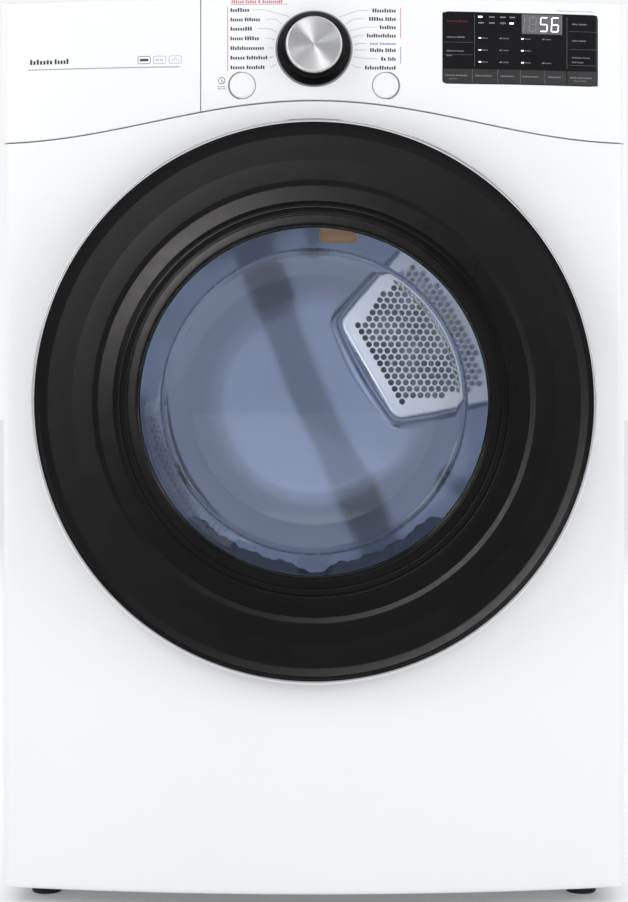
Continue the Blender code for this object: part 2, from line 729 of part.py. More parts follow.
def drum_lamp():
    """A lamp behind the top of the mouth, with a flat lens facing the drum."""
    z = DOOR_Z + MOUTH_RADIUS - 0.014
    lamp = block(
        "drum_lamp", (0.004, SHELF_Y - 0.032, z - 0.022), (0.052, SHELF_Y - 0.006, z), WHITE_PLASTIC,
    )
    rounded(lamp, 0.004, 2)


# ---- drive ----
def tangent_angle(a, b):
    """The direction from both centres to the outer tangent on the right-hand side of the way from a to b."""
    dx, dz = b[0] - a[0], b[1] - a[1]
    return math.atan2(dz, dx) - math.acos((a[2] - b[2]) / math.hypot(dx, dz))


def belt_loop(clearance):
    """A closed line round the drum, the idler and the motor pulley, counter-clockwise from the front."""
    wheels = [(0, DOOR_Z, DRUM_RADIUS + clearance), (IDLER_X, IDLER_Z, IDLER_RADIUS + clearance),
              (MOTOR_X, MOTOR_Z, PULLEY_RADIUS + clearance)]
    points = []
    for i, wheel in enumerate(wheels):
        arrive = tangent_angle(wheels[i - 1], wheel)
        leave = tangent_angle(wheel, wheels[(i + 1) % 3])
        while leave < arrive:
            leave += 2 * math.pi
        count = 44 if i == 0 else 6
        outside = wheel[2] / math.cos((leave - arrive) / count / 2)
        points += arc(wheel[0], wheel[1], outside, arrive, leave, count)
    return points


def drum_belt():
    half = BELT_WIDTH / 2
    loops = [belt_loop(GAP + BELT_THICK), belt_loop(GAP)]
    plate("drum_belt", loops, BELT_Y - half, BELT_Y + half, RUBBER, face="Y")


def drive_motor():
    bore = MOTOR_SHAFT + RUNNING
    low, high = -0.130, 0.035
    profile = [
        (bore, low), (0.022, low), (0.030, low + 0.008), (MOTOR_RADIUS - 0.006, low + 0.012),
        (MOTOR_RADIUS, low + 0.020), (MOTOR_RADIUS, high - 0.020), (MOTOR_RADIUS - 0.006, high - 0.012),
        (0.030, high - 0.008), (0.022, high), (bore, high),
    ]
    motor = turned("drive_motor", profile, (MOTOR_X, 0, MOTOR_Z), GREY, steps=28)
    foot = block(
        "motor_foot", (MOTOR_X - 0.045, low + 0.04, FLOOR_Z + GAP),
        (MOTOR_X + 0.045, high - 0.04, MOTOR_Z - 0.035),
    )
    join(motor, foot)


def motor_shaft():
    """One shaft through the motor: blower wheel on its front end, belt pulley turned on its rear end."""
    half = BELT_WIDTH / 2 + 0.0005
    flange = PULLEY_RADIUS + 0.003
    front = BLOWER_Y[0] + 0.014
    profile = [
        (0, front), (MOTOR_SHAFT, front), (MOTOR_SHAFT, BELT_Y - half - 0.002),
        (flange, BELT_Y - half - 0.002), (flange, BELT_Y - half), (PULLEY_RADIUS, BELT_Y - half),
        (PULLEY_RADIUS, BELT_Y + half), (flange, BELT_Y + half), (flange, BELT_Y + half + 0.002),
        (0, BELT_Y + half + 0.002),
    ]
    turned("motor_shaft", profile, (MOTOR_X, 0, MOTOR_Z), STEEL, steps=16)


def blower_wheel():
    """A hub disc behind, a ring in front, and straight blades between them."""
    front = BLOWER_Y[0] + 0.012
    back = front + WHEEL_WIDTH
    bore = MOTOR_SHAFT + GAP
    hub = [
        (bore, front + 0.012), (0.012, front + 0.012), (0.012, back - 0.002),
        (WHEEL_RADIUS, back - 0.002), (WHEEL_RADIUS, back), (bore, back),
    ]
    wheel = turned("blower_wheel", hub, (MOTOR_X, 0, MOTOR_Z), DARK, steps=24)
    ring = [
        (WHEEL_RADIUS - 0.016, front), (WHEEL_RADIUS, front), (WHEEL_RADIUS, front + 0.002),
        (WHEEL_RADIUS - 0.016, front + 0.002),
    ]
    join(wheel, turned("wheel_ring", ring, (MOTOR_X, 0, MOTOR_Z), steps=24))
    for i in range(BLADES):
        turn = 2 * math.pi * i / BLADES
        blade = block(
            "blade", (WHEEL_RADIUS - 0.015, front + 0.001, -0.001),
            (WHEEL_RADIUS - 0.002, back - 0.001, 0.001),
        )
        blade.rotation_euler = (0, turn, 0)
        blade.location = (MOTOR_X, 0, MOTOR_Z)
        join(wheel, blade)


def housing_outline(inset):
    """A round casing with a spout to the left along its floor."""
    radius = WHEEL_RADIUS + 0.017 - inset
    spout_top = EXHAUST_Z + EXHAUST_RADIUS + 0.004 - inset
    spout_end = EXHAUST_X - EXHAUST_RADIUS - 0.005 + inset
    floor = MOTOR_Z - radius
    meet = math.asin((spout_top - MOTOR_Z) / radius)
    round_part = arc(MOTOR_X, MOTOR_Z, radius, -math.pi / 2, math.pi - meet, 22)
    return round_part + [(spout_end, spout_top), (spout_end, floor)]


def blower_housing():
    low, high = BLOWER_Y
    body = plate("blower_housing", [housing_outline(0)], low, high, WHITE_PLASTIC, face="Y")
    cut(body, plate("housing_inside", [housing_outline(SHEET)], low + SHEET, high - SHEET, face="Y"))
    cut(body, disc_cutter("inlet", MOTOR_X, MOTOR_Z, WHEEL_RADIUS - 0.022, low - 0.01, low + 0.01))
    cut(body, disc_cutter("outlet", EXHAUST_X, EXHAUST_Z, EXHAUST_RADIUS - 0.001, high - 0.01, high + 0.01))
    cut(
        body,
        disc_cutter("shaft_hole", MOTOR_X, MOTOR_Z, MOTOR_SHAFT + 0.002, high - 0.01, high + 0.01, 12),
    )


def exhaust_duct():
    wall = 0.001
    profile = [
        (EXHAUST_RADIUS, BLOWER_Y[1] + GAP), (EXHAUST_RADIUS, REAR_END_Y),
        (EXHAUST_RADIUS - wall, REAR_END_Y), (EXHAUST_RADIUS - wall, BLOWER_Y[1] + GAP),
    ]
    turned("exhaust_duct", profile, (EXHAUST_X, 0, EXHAUST_Z), STEEL, steps=32)


def lint_duct():
    """A flat box that holds the filter upright and leads down to the blower's inlet."""
    thick = FILTER_THICK / 2 + 0.0015
    low = (-FILTER_WIDTH / 2 - 0.006, FILTER_Y - thick - 0.008, 0.040)
    high = (MOTOR_X + 0.070, BLOWER_Y[0] - GAP, DOOR_Z - SLEEVE_RADIUS - 0.004)
    duct = block("lint_duct", low, high, WHITE_PLASTIC)
    inside = block("duct_inside", [a + 0.002 for a in low], [b - 0.002 for b in high])
    slot = block(
        "duct_slot", (-FILTER_WIDTH / 2 - 0.001, FILTER_Y - thick, high[2] - 0.01),
        (FILTER_WIDTH / 2 + 0.001, FILTER_Y + thick, high[2] + 0.01),
    )
    cut(duct, inside, slot)
    cut(
        duct,
        disc_cutter(
            "duct_outlet", MOTOR_X, MOTOR_Z, WHEEL_RADIUS - 0.022, high[1] - 0.006, high[1] + 0.01,
        ),
    )


def lint_filter():
    """A mesh cassette: a frame with window openings and a grip along its top edge."""
    half = FILTER_WIDTH / 2
    thick = FILTER_THICK / 2
    loops = [rectangle((-half, FILTER_BOTTOM_Z), (half, FILTER_TOP_Z))]
    for i in range(4):
        left = -half + 0.010 + i * (2 * half - 0.010) / 4
        loops.append(
            rectangle(
                (left, FILTER_BOTTOM_Z + 0.010),
                (left + (2 * half - 0.010) / 4 - 0.010, FILTER_TOP_Z - 0.035),
            ),
        )
    frame = plate("lint_filter", loops, FILTER_Y - thick, FILTER_Y + thick, GREY, face="Y")
    grip = block(
        "grip_hollow", (-0.045, FILTER_Y - thick - 0.001, FILTER_TOP_Z - 0.022),
        (0.045, FILTER_Y - 0.002, FILTER_TOP_Z - 0.006),
    )
    cut(frame, grip)


def heater_parts():
    low = (HALF - 0.128, 0.070, FOOT_STEM_TOP + 0.003)
    high = (HALF - 0.028, REAR_WALL_Y - 0.003, 0.200)
    box = block("heater_housing", low, high)
    cut(
        box,
        block(
            "heater_inside", (low[0] + SHEET, low[1] + SHEET, low[2] + SHEET),
            (high[0] - SHEET, high[1] + 0.01, 0.3),
        ),
    )
    points = []
    for i in range(8):
        y = low[1] + 0.03 + 0.025 * i
        near, far = low[0] + 0.018, high[0] - 0.018
        ends = (near, far) if i % 2 == 0 else (far, near)
        points += [(ends[0], y, 0.110), (ends[1], y, 0.110)]
    wire("heater_coil", points, 0.004, STEEL, sides=1)
    tray = (
        (EXHAUST_X + EXHAUST_RADIUS + 0.004, REAR_WALL_Y + SHEET + GAP, FOOT_STEM_TOP + 0.004),
        (HALF - 0.021, BACK_Y - 2 * SHEET - GAP - 0.0005, DOOR_Z + 0.208),
    )
    duct = block("heater_duct", *tray)
    cut(
        duct,
        block(
            "tray_inside", (tray[0][0] + SHEET, 0.2, tray[0][2] + SHEET),
            (tray[1][0] - SHEET, tray[1][1] - SHEET, tray[1][2] - SHEET),
        ),
    )


def idler():
    """A sprung arm holds the idler pulley out against the belt, from inside the loop."""
    arm_y = BELT_Y + BELT_WIDTH / 2 + 0.0065
    post = block("idler_bracket", (ARM_X - 0.014, arm_y + ARM_THICK + GAP + 0.001, FLOOR_Z + GAP),
                 (ARM_X + 0.014, arm_y + ARM_THICK + 0.005, ARM_Z + 0.014))
    foot = block(
        "bracket_foot", (ARM_X - 0.014, arm_y + ARM_THICK + 0.004, FLOOR_Z + GAP),
        (ARM_X + 0.014, arm_y + 0.040, FLOOR_Z + 0.003),
    )
    pin = rod("arm_pin", ARM_X, ARM_Z, 0.004, arm_y - 0.003, arm_y + ARM_THICK + 0.004, steps=12)
    join(post, foot, pin)
    reach = math.hypot(IDLER_X - ARM_X, IDLER_Z - ARM_Z)
    turn = math.atan2(IDLER_Z - ARM_Z, IDLER_X - ARM_X)
    tail = 0.045
    body = arc(
        reach, 0, 0.009, -math.pi / 2, math.pi / 2, 6,
    ) + [(0, 0.011)] + [(-tail, 0.009)] + [(-tail, -0.009), (0, -0.011)]
    cos, sin = math.cos(turn), math.sin(turn)
    outline = [(ARM_X + a * cos - b * sin, ARM_Z + a * sin + b * cos) for a, b in body]
    hole = circle(ARM_X, ARM_Z, 0.004 + RUNNING, 12)
    arm = plate("idler_arm", [outline, hole], arm_y, arm_y + ARM_THICK, face="Y", origin=(ARM_X, 0, ARM_Z))
    half = BELT_WIDTH / 2 + 0.0005
    axle = rod("idler_axle", IDLER_X, IDLER_Z, 0.004, BELT_Y - half - 0.006, arm_y + 0.001, steps=12)
    axle.location = (IDLER_X, 0, IDLER_Z)
    join(arm, axle)
    bore, flange = 0.004 + RUNNING, IDLER_RADIUS + 0.0025
    profile = [
        (bore, BELT_Y - half - 0.002), (flange, BELT_Y - half - 0.002), (flange, BELT_Y - half),
        (IDLER_RADIUS, BELT_Y - half), (IDLER_RADIUS, BELT_Y + half), (flange, BELT_Y + half),
        (flange, BELT_Y + half + 0.002), (bore, BELT_Y + half + 0.002),
    ]
    turned("idler_pulley", profile, (IDLER_X, 0, IDLER_Z), DARK, steps=16)
    spring_x = ARM_X - (tail - 0.008) * cos
    top = ARM_Z - (tail - 0.008) * sin - 0.013
    points = []
    count = SPRING_TURNS * 6
    for i in range(count + 1):
        angle = 2 * math.pi * i / 6
        z = FLOOR_Z + GAP + SPRING_WIRE + (top - FLOOR_Z - 2 * SPRING_WIRE - 2 * GAP) * i / count
        points.append(
            (
                spring_x + SPRING_RADIUS * math.cos(angle),
                arm_y + ARM_THICK / 2 + SPRING_RADIUS * math.sin(angle), z,
            ),
        )
    wire("idler_spring", points, SPRING_WIRE, STEEL, sides=1)


# ---- door ----
def door():
    centre = (0, 0, DOOR_Z)
    outer = DOOR_RADIUS
    band = outer - TRIM_WIDTH
    trim = [
        (band, RING_Y + 0.002), (band + 0.001, RING_Y), (outer - 0.0012, RING_Y),
        (outer, RING_Y + 0.0012), (outer, RING_Y + 0.009), (band, RING_Y + 0.009),
    ]
    turned("door_trim_ring", trim, centre, CHROME, steps=DOOR_STEPS)
    lip = WINDOW_RADIUS + 0.010
    inside = band - GAP
    dish = lip + 0.032  # the deepest line of the bezel's dish
    bezel = [
        (inside, RING_Y + 0.0025), (inside - 0.012, RING_Y + 0.0075), (dish + 0.030, RING_Y + 0.0135),
        (dish, RING_Y + 0.0165), (lip + 0.012, RING_Y + 0.0165), (lip + 0.003, RING_Y + 0.013),
        (lip, RING_Y + 0.0128), (lip, RING_Y + 0.0195), (dish, RING_Y + 0.0195),
        (inside - 0.003, RING_Y + 0.0165), (inside - 0.003, RING_Y + 0.0195),
        (outer - 0.0005, RING_Y + 0.0195), (outer - 0.0005, RING_Y + 0.0095), (inside, RING_Y + 0.0095),
    ]
    turned("door_bezel", bezel, centre, BLACK_GLOSS, steps=DOOR_STEPS)
    liner_front = DOOR_BACK_Y - 0.0030
    back_r = WINDOW_RADIUS - 0.003
    bowl = [
        (0, BOWL_BACK_Y), (BOWL_FLOOR_RADIUS - 0.002, BOWL_BACK_Y),
        (BOWL_FLOOR_RADIUS + GLASS, BOWL_BACK_Y - 0.006), (back_r + GLASS, BOWL_FRONT_Y + GLASS),
        (lip - 0.0005, BOWL_FRONT_Y + GLASS), (lip - 0.0005, BOWL_FRONT_Y), (back_r, BOWL_FRONT_Y),
        (BOWL_FLOOR_RADIUS, BOWL_BACK_Y - GLASS - 0.004),
        (BOWL_FLOOR_RADIUS - 0.004, BOWL_BACK_Y - GLASS), (0, BOWL_BACK_Y - GLASS),
    ]
    turned("door_glass", bowl, centre, GLASS_CLEAR, steps=DOOR_STEPS)
    sleeve = MOUTH_RADIUS - 0.016
    liner = [
        (lip - 0.0005, liner_front), (outer - 0.003, liner_front), (outer - 0.003, DOOR_BACK_Y),
        (sleeve + 0.003, DOOR_BACK_Y), (sleeve, BULKHEAD_Y - 0.012),
        (sleeve - 0.002, BULKHEAD_Y - 0.012), (sleeve - 0.001, DOOR_BACK_Y),
        (lip - 0.0005, DOOR_BACK_Y),
    ]
    turned("door_liner", liner, centre, GREY, steps=DOOR_STEPS)
    gasket = [
        (MOUTH_RADIUS + 0.0015, DOOR_BACK_Y + GAP), (MOUTH_RADIUS + 0.0085, DOOR_BACK_Y + GAP),
        (MOUTH_RADIUS + 0.0075, SEAT_Y - GAP), (MOUTH_RADIUS + 0.0025, SEAT_Y - GAP),
    ]
    turned("door_gasket", gasket, centre, RUBBER, steps=DOOR_STEPS)
    x = -STRIKE_RADIUS
    strike = block(
        "door_strike", (x - 0.002, DOOR_BACK_Y + GAP, DOOR_Z - 0.012),
        (x + 0.003, SEAT_Y + 0.018, DOOR_Z + 0.012), STEEL, (HINGE_X, HINGE_Y, DOOR_Z),
    )
    cut(
        strike,
        block(
            "strike_eye", (x - 0.01, SEAT_Y + 0.006, DOOR_Z - 0.006),
            (x + 0.01, SEAT_Y + 0.013, DOOR_Z + 0.006),
        ),
    )


def upright(name, radius, low, high, material=STEEL, steps=16):
    return turned(
        name, [(0, low), (radius, low), (radius, high), (0, high)], (HINGE_X, HINGE_Y, 0), material,
        "Z", steps,
    )


def hinge():
    """Two knuckles on the cabinet, one on the door, and a pin through all three."""
    pin, knuckle = 0.0022, 0.005
    low, high = DOOR_Z - 0.045, DOOR_Z + 0.045
    pin_profile = [
        (0, low - 0.004), (0.004, low - 0.004), (0.004, low - 0.0005), (pin, low - 0.0005),
        (pin, high + 0.002), (0, high + 0.002),
    ]
    turned("hinge_pin", pin_profile, (HINGE_X, HINGE_Y, 0), STEEL, "Z", 12)
    bracket = block(
        "hinge_bracket", (SEAT_RADIUS + 0.005, HINGE_Y + 0.0095, low),
        (HINGE_X + 0.005, HINGE_Y + 0.030, high),
    )
    skin = [(HALF, 0.1)] + front_line(-0.0003)[::-1] + [(-HALF, 0.1)]
    cut(bracket, plate("behind_panel", [skin], low - 0.01, high + 0.01))
    for start in (low, DOOR_Z + 0.020):
        join(bracket, upright("knuckle", knuckle, start, start + 0.025))
        join(
            bracket,
            block(
                "web", (HINGE_X - 0.005, HINGE_Y, start),
                (HINGE_X - 0.0025, HINGE_Y + 0.012, start + 0.025),
            ),
        )
    cut(bracket, upright("pin_hole", pin + RUNNING, low - 0.01, high + 0.01, steps=12))
    leaf_front = DOOR_BACK_Y + GAP
    leaf = block(
        "door_hinge_leaf", (SEAT_RADIUS + 0.004, leaf_front, DOOR_Z - 0.018),
        (HINGE_X - 0.001, leaf_front + 0.0025, DOOR_Z + 0.018), STEEL, (HINGE_X, HINGE_Y, DOOR_Z),
    )
    middle = upright("leaf_knuckle", knuckle, DOOR_Z - 0.018, DOOR_Z + 0.018)
    join(leaf, middle)
    cut(leaf, upright("leaf_hole", pin + RUNNING, DOOR_Z - 0.03, DOOR_Z + 0.03, steps=12))


def hang_door_pieces():
    """The turned door pieces move with an empty on the hinge line."""
    bpy.context.view_layer.update()
    empty = bpy.data.objects.new("door_hinge_line", None)
    empty.location = (HINGE_X, HINGE_Y, DOOR_Z)
    PARTS.objects.link(empty)
    for name in (
        "door_trim_ring", "door_bezel", "door_glass", "door_liner", "door_gasket", "door_strike",
        "door_hinge_leaf",
    ):
        piece = bpy.data.objects[name]
        piece.parent = empty
        piece.matrix_parent_inverse = Matrix.Translation((-HINGE_X, -HINGE_Y, -DOOR_Z))


base_pan()
side_panel("side_panel_left", -1)
side_panel("side_panel_right", 1)
top_panel()
rear_panel()
terminal_cover()
front_panel()
door_catch()
feet()
control_fascia()
fascia_left_panel()
display_panel()
control_board()
dial()
push_button("power_button", -BUTTON_X)
push_button("start_button", BUTTON_X)
front_bulkhead()
rear_bulkhead()
air_inlet_grille()
felt_seal("front_felt_seal", DRUM_FRONT_Y + 0.003)
felt_seal("rear_felt_seal", DRUM_REAR_Y - 0.003 - SEAL_WIDTH)
drum()
drum_baffles()
rollers()
drum_lamp()
drum_belt()
drive_motor()
motor_shaft()
blower_wheel()
blower_housing()
exhaust_duct()
lint_duct()
lint_filter()
heater_parts()
idler()
door()
hinge()
hang_door_pieces()
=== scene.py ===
"""The looks of a front-loading clothes dryer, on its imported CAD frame. Metres, +Z up, front to -Y."""

import json
import math
import random

import bmesh
import bpy
from mathutils import Matrix, Vector


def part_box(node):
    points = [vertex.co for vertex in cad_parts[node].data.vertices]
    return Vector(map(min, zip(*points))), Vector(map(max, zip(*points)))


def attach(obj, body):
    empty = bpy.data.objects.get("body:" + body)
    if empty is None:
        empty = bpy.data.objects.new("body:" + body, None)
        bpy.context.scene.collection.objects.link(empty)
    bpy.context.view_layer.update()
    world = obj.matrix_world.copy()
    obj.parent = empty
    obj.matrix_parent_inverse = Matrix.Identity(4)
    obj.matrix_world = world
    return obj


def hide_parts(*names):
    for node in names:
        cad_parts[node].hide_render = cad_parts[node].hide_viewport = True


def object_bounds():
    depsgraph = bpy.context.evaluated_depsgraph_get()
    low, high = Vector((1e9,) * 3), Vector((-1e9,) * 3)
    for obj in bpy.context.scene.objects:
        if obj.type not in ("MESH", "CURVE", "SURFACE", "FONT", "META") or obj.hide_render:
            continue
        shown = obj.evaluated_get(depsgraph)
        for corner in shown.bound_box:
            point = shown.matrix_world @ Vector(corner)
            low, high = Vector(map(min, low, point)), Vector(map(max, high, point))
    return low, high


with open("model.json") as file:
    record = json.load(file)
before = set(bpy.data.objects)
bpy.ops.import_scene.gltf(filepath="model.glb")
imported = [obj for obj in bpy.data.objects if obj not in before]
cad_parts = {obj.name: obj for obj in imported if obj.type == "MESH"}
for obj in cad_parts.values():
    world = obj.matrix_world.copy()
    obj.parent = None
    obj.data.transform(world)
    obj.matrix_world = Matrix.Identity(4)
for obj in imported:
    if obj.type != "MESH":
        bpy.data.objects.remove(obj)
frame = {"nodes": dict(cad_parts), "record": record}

CAD_LOW, CAD_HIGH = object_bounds()
NODES = frame["nodes"]
TAU = 2 * math.pi

# ---- sizes that the CAD gives ----
HALF = CAD_HIGH.x
TOP = CAD_HIGH.z
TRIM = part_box("door_trim_ring")
DOOR_RADIUS = TRIM[1].x
DOOR_Z = (TRIM[0].z + TRIM[1].z) / 2
RING_Y = TRIM[0].y
SIDE_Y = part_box("front_panel")[1].y
CREST_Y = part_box("front_panel")[0].y
FOOT_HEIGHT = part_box("front_panel")[0].z
LID_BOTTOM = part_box("top_panel")[0].z
DIAL_Z = (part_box("dial_skirt")[0].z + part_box("dial_skirt")[1].z) / 2
SKIRT_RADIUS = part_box("dial_skirt")[1].x
CAP_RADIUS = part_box("dial_cap")[1].x
PANEL_SEAM_X = (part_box("control_fascia")[0].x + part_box("fascia_left_panel")[1].x) / 2
SLEEVE_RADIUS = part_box("front_felt_seal")[1].x - 0.009

# ---- the bowed front ----
BOW = 0.035
EDGE_RADIUS = 0.012
BOW_RADIUS = (HALF**2 + BOW**2) / (2 * BOW)
CORNER_X = HALF - EDGE_RADIUS
BEND_TURN = math.asin(CORNER_X / (BOW_RADIUS - EDGE_RADIUS))
CORNER_Y = CREST_Y + BOW_RADIUS - (BOW_RADIUS - EDGE_RADIUS) * math.cos(BEND_TURN)
BEND_START = BOW_RADIUS * math.sin(BEND_TURN)
BEND_END = BEND_START + EDGE_RADIUS * (math.pi / 2 - BEND_TURN)
WRAP_END = BEND_END + SIDE_Y - CORNER_Y
SEAM_SIDE_Z = 0.836
SEAM_RISE = 0.042
SEAM_HALF_GAP = 0.0007
SEAT_RADIUS = 0.2615
MOUTH_RADIUS = 0.236
SEAT_Y = CREST_Y + 0.005
WINDOW_RADIUS = 0.190
BOWL_FLOOR_RADIUS = 0.168
REAR_WALL_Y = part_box("air_inlet_grille")[1].y + 0.0003


# ---- materials ----
def shader_of(material):
    return material.node_tree.nodes["Principled BSDF"]


def node(tree, kind, **values):
    made = tree.nodes.new(kind)
    for key, value in values.items():
        if hasattr(made, key):
            setattr(made, key, value)
        else:
            made.inputs[key.replace("_", " ")].default_value = value
    return made


def noise(tree, coordinates, scale, detail=3.0, rough=0.55, stretch=(1, 1, 1)):
    """A noise texture with this many features to the metre."""
    mapping = node(tree, "ShaderNodeMapping")
    mapping.inputs["Scale"].default_value = stretch
    tree.links.new(coordinates, mapping.inputs["Vector"])
    made = node(tree, "ShaderNodeTexNoise")
    made.inputs["Scale"].default_value = scale
    made.inputs["Detail"].default_value = detail
    made.inputs["Roughness"].default_value = rough
    tree.links.new(mapping.outputs["Vector"], made.inputs["Vector"])
    return made.outputs["Fac"]


def spread(tree, value, low, high, start=0.3, end=0.7):
    """The value's middle range mapped to low..high."""
    made = node(tree, "ShaderNodeMapRange")
    for key, number in (("From Min", start), ("From Max", end), ("To Min", low), ("To Max", high)):
        made.inputs[key].default_value = number
    tree.links.new(value, made.inputs["Value"])
    return made.outputs["Result"]


def mixed(tree, factor, first, second):
    made = node(tree, "ShaderNodeMix", data_type="RGBA")
    tree.links.new(factor, made.inputs["Factor"])
    for socket, value in ((made.inputs["A"], first), (made.inputs["B"], second)):
        if hasattr(value, "default_value"):
            tree.links.new(value, socket)
        else:
            socket.default_value = (*value, 1.0)
    return made.outputs["Result"]


def bump(tree, height, distance, strength=1.0, after=None):
    made = node(tree, "ShaderNodeBump")
    made.inputs["Strength"].default_value = strength
    made.inputs["Distance"].default_value = distance
    tree.links.new(height, made.inputs["Height"])
    if after:
        tree.links.new(after, made.inputs["Normal"])
    return made.outputs["Normal"]


def tint(color, amount):
    return tuple(min(1.0, max(0.0, value * amount)) for value in color)


def finish(name, color, roughness, metallic=0.0, tone=0.04, blotch=5.0, rough_spread=0.06,
           grain=(), stretch=(1, 1, 1), **sockets):
    """A surface whose tone and gloss wander a little, with grain as (features per metre, height in m)."""
    material = bpy.data.materials.new(name)
    material.use_nodes = True
    tree = material.node_tree
    shader = shader_of(material)
    place = node(tree, "ShaderNodeTexCoord").outputs["Object"]
    wander = noise(tree, place, blotch, 4.0)
    tree.links.new(
        mixed(tree, spread(tree, wander, 0, 1), tint(color, 1 - tone), tint(color, 1 + tone)),
        shader.inputs["Base Color"],
    )
    wear = noise(tree, place, blotch * 9, 5.0, 0.6, stretch)
    tree.links.new(
        spread(tree, wear, max(0.01, roughness - rough_spread), roughness + rough_spread),
        shader.inputs["Roughness"],
    )
    shader.inputs["Metallic"].default_value = metallic
    normal = None
    for scale, height in grain:
        normal = bump(tree, noise(tree, place, scale, 2.0, 0.5, stretch), height, 1.0, normal)
    if normal:
        tree.links.new(normal, shader.inputs["Normal"])
    for key, value in sockets.items():
        shader.inputs[key.replace("_", " ")].default_value = value
    return material


def spun_metal(name, color, roughness, tone=0.06):
    """Metal turned on a lathe: fine rings about the object's own Y axis, which stretch its highlights."""
    material = finish(name, color, roughness, 1.0, tone)
    tree = material.node_tree
    shader = shader_of(material)
    place = node(tree, "ShaderNodeTexCoord").outputs["Object"]
    flat = node(tree, "ShaderNodeVectorMath", operation="MULTIPLY")
    flat.inputs[1].default_value = (1, 0, 1)
    tree.links.new(place, flat.inputs[0])
    length = node(tree, "ShaderNodeVectorMath", operation="LENGTH")
    tree.links.new(flat.outputs[0], length.inputs[0])
    rings = node(tree, "ShaderNodeTexNoise", noise_dimensions="1D")
    rings.inputs["Scale"].default_value = 2600
    rings.inputs["Detail"].default_value = 3
    tree.links.new(length.outputs["Value"], rings.inputs["W"])
    tree.links.new(bump(tree, rings.outputs["Fac"], 0.00001, 0.4), shader.inputs["Normal"])
    shader.inputs["Anisotropic"].default_value = 0.95
    around = node(tree, "ShaderNodeTangent", direction_type="RADIAL", axis="Y")
    tree.links.new(around.outputs["Tangent"], shader.inputs["Tangent"])
    return material


WHITE = finish(
    "white_enamel", (0.86, 0.865, 0.88), 0.34, tone=0.012, blotch=3.0, rough_spread=0.04,
    grain=((420, 0.00002), (90, 0.00003)), Coat_Weight=0.25, Coat_Roughness=0.12,
)
WHITE_PLASTIC = finish(
    "white_plastic", (0.87, 0.875, 0.885), 0.38, tone=0.012, blotch=4.0, rough_spread=0.05,
    grain=((900, 0.00002),), Coat_Weight=0.15, Coat_Roughness=0.2,
)
BLACK_GLOSS = finish(
    "black_gloss", (0.0030, 0.0028, 0.0028), 0.24, tone=0.25, blotch=7.0, rough_spread=0.03,
    grain=((260, 0.00002),), Specular_IOR_Level=0.09,
)
DARK = finish("dark_plastic", (0.022, 0.022, 0.024), 0.5, tone=0.2, grain=((1400, 0.00008),))
GREY = finish("grey_plastic", (0.24, 0.25, 0.27), 0.5, tone=0.06, grain=((1300, 0.00006),))
CHROME = finish(
    "chrome", (0.78, 0.78, 0.80), 0.12, 1.0, tone=0.03, rough_spread=0.05, grain=((700, 0.00001),),
)
ZINC = finish(
    "zinc_steel", (0.52, 0.54, 0.57), 0.38, 1.0, tone=0.16, blotch=60.0, rough_spread=0.10,
    grain=((300, 0.00005),),
)
DRUM_STEEL = finish(
    "drum_steel", (0.50, 0.53, 0.60), 0.26, 1.0, tone=0.05, blotch=6.0, rough_spread=0.06,
    grain=((1500, 0.00002),), stretch=(1, 0.06, 1),
)
REAR_STEEL = finish(
    "rear_wall_steel", (0.36, 0.42, 0.56), 0.08, 0.5, tone=0.05, blotch=7.0, rough_spread=0.02,
    grain=((1200, 0.0000004),),
)
VENT_STEEL = finish(
    "vent_steel", (0.93, 0.94, 0.97), 0.42, 0.35, tone=0.05, blotch=30.0, rough_spread=0.07,
    grain=((900, 0.00002),),
)
RUBBER = finish("rubber", (0.018, 0.018, 0.019), 0.75, tone=0.3, blotch=30, grain=((1600, 0.00012),))
FELT = finish(
    "felt", (0.30, 0.28, 0.24), 0.95, tone=0.35, blotch=300, grain=((2600, 0.0004), (700, 0.0005)),
    Sheen_Weight=0.5,
)
BOARD = finish("circuit_board", (0.02, 0.13, 0.06), 0.4, tone=0.4, blotch=180, grain=((900, 0.0001),))
PAINT = finish("motor_paint", (0.10, 0.11, 0.12), 0.45, tone=0.2, blotch=40, grain=((800, 0.00008),))
SPUN = spun_metal("spun_aluminium", (0.60, 0.60, 0.605), 0.30)
FELT_DARK = finish(
    "filter_mesh", (0.016, 0.014, 0.013), 0.8, tone=0.7, blotch=260, grain=((900, 0.0012), (380, 0.0016)),
)
SCREEN = finish("inlet_screen", (0.17, 0.185, 0.22), 0.7, tone=0.8, blotch=24.0, grain=((900, 0.0004),))
INK = finish("dark_ink", (0.028, 0.028, 0.032), 0.5, tone=0.2, blotch=400)
PALE_INK = finish("pale_ink", (0.36, 0.36, 0.38), 0.5, tone=0.1, blotch=400)
ROSE_INK = finish("rose_ink", (0.60, 0.17, 0.20), 0.5, tone=0.1, blotch=400)
BLUE_INK = finish("blue_ink", (0.16, 0.28, 0.44), 0.5, tone=0.1, blotch=400)


GLASS = finish(
    "door_glass", (0.86, 0.91, 0.99), 0.03, tone=0.02, blotch=9, rough_spread=0.02,
    Transmission_Weight=1.0, IOR=1.46, Specular_IOR_Level=0.16,
)


def lit(name, color, strength):
    """A lamp behind a diffuser: its light wanders a little over the surface."""
    material = finish(name, color, 0.4, tone=0.1, blotch=300)
    tree = material.node_tree
    shader = shader_of(material)
    place = node(tree, "ShaderNodeTexCoord").outputs["Object"]
    glow = noise(tree, place, 500, 2.0)
    tree.links.new(mixed(tree, glow, tint(color, 0.85), color), shader.inputs["Emission Color"])
    shader.inputs["Emission Strength"].default_value = strength
    return material


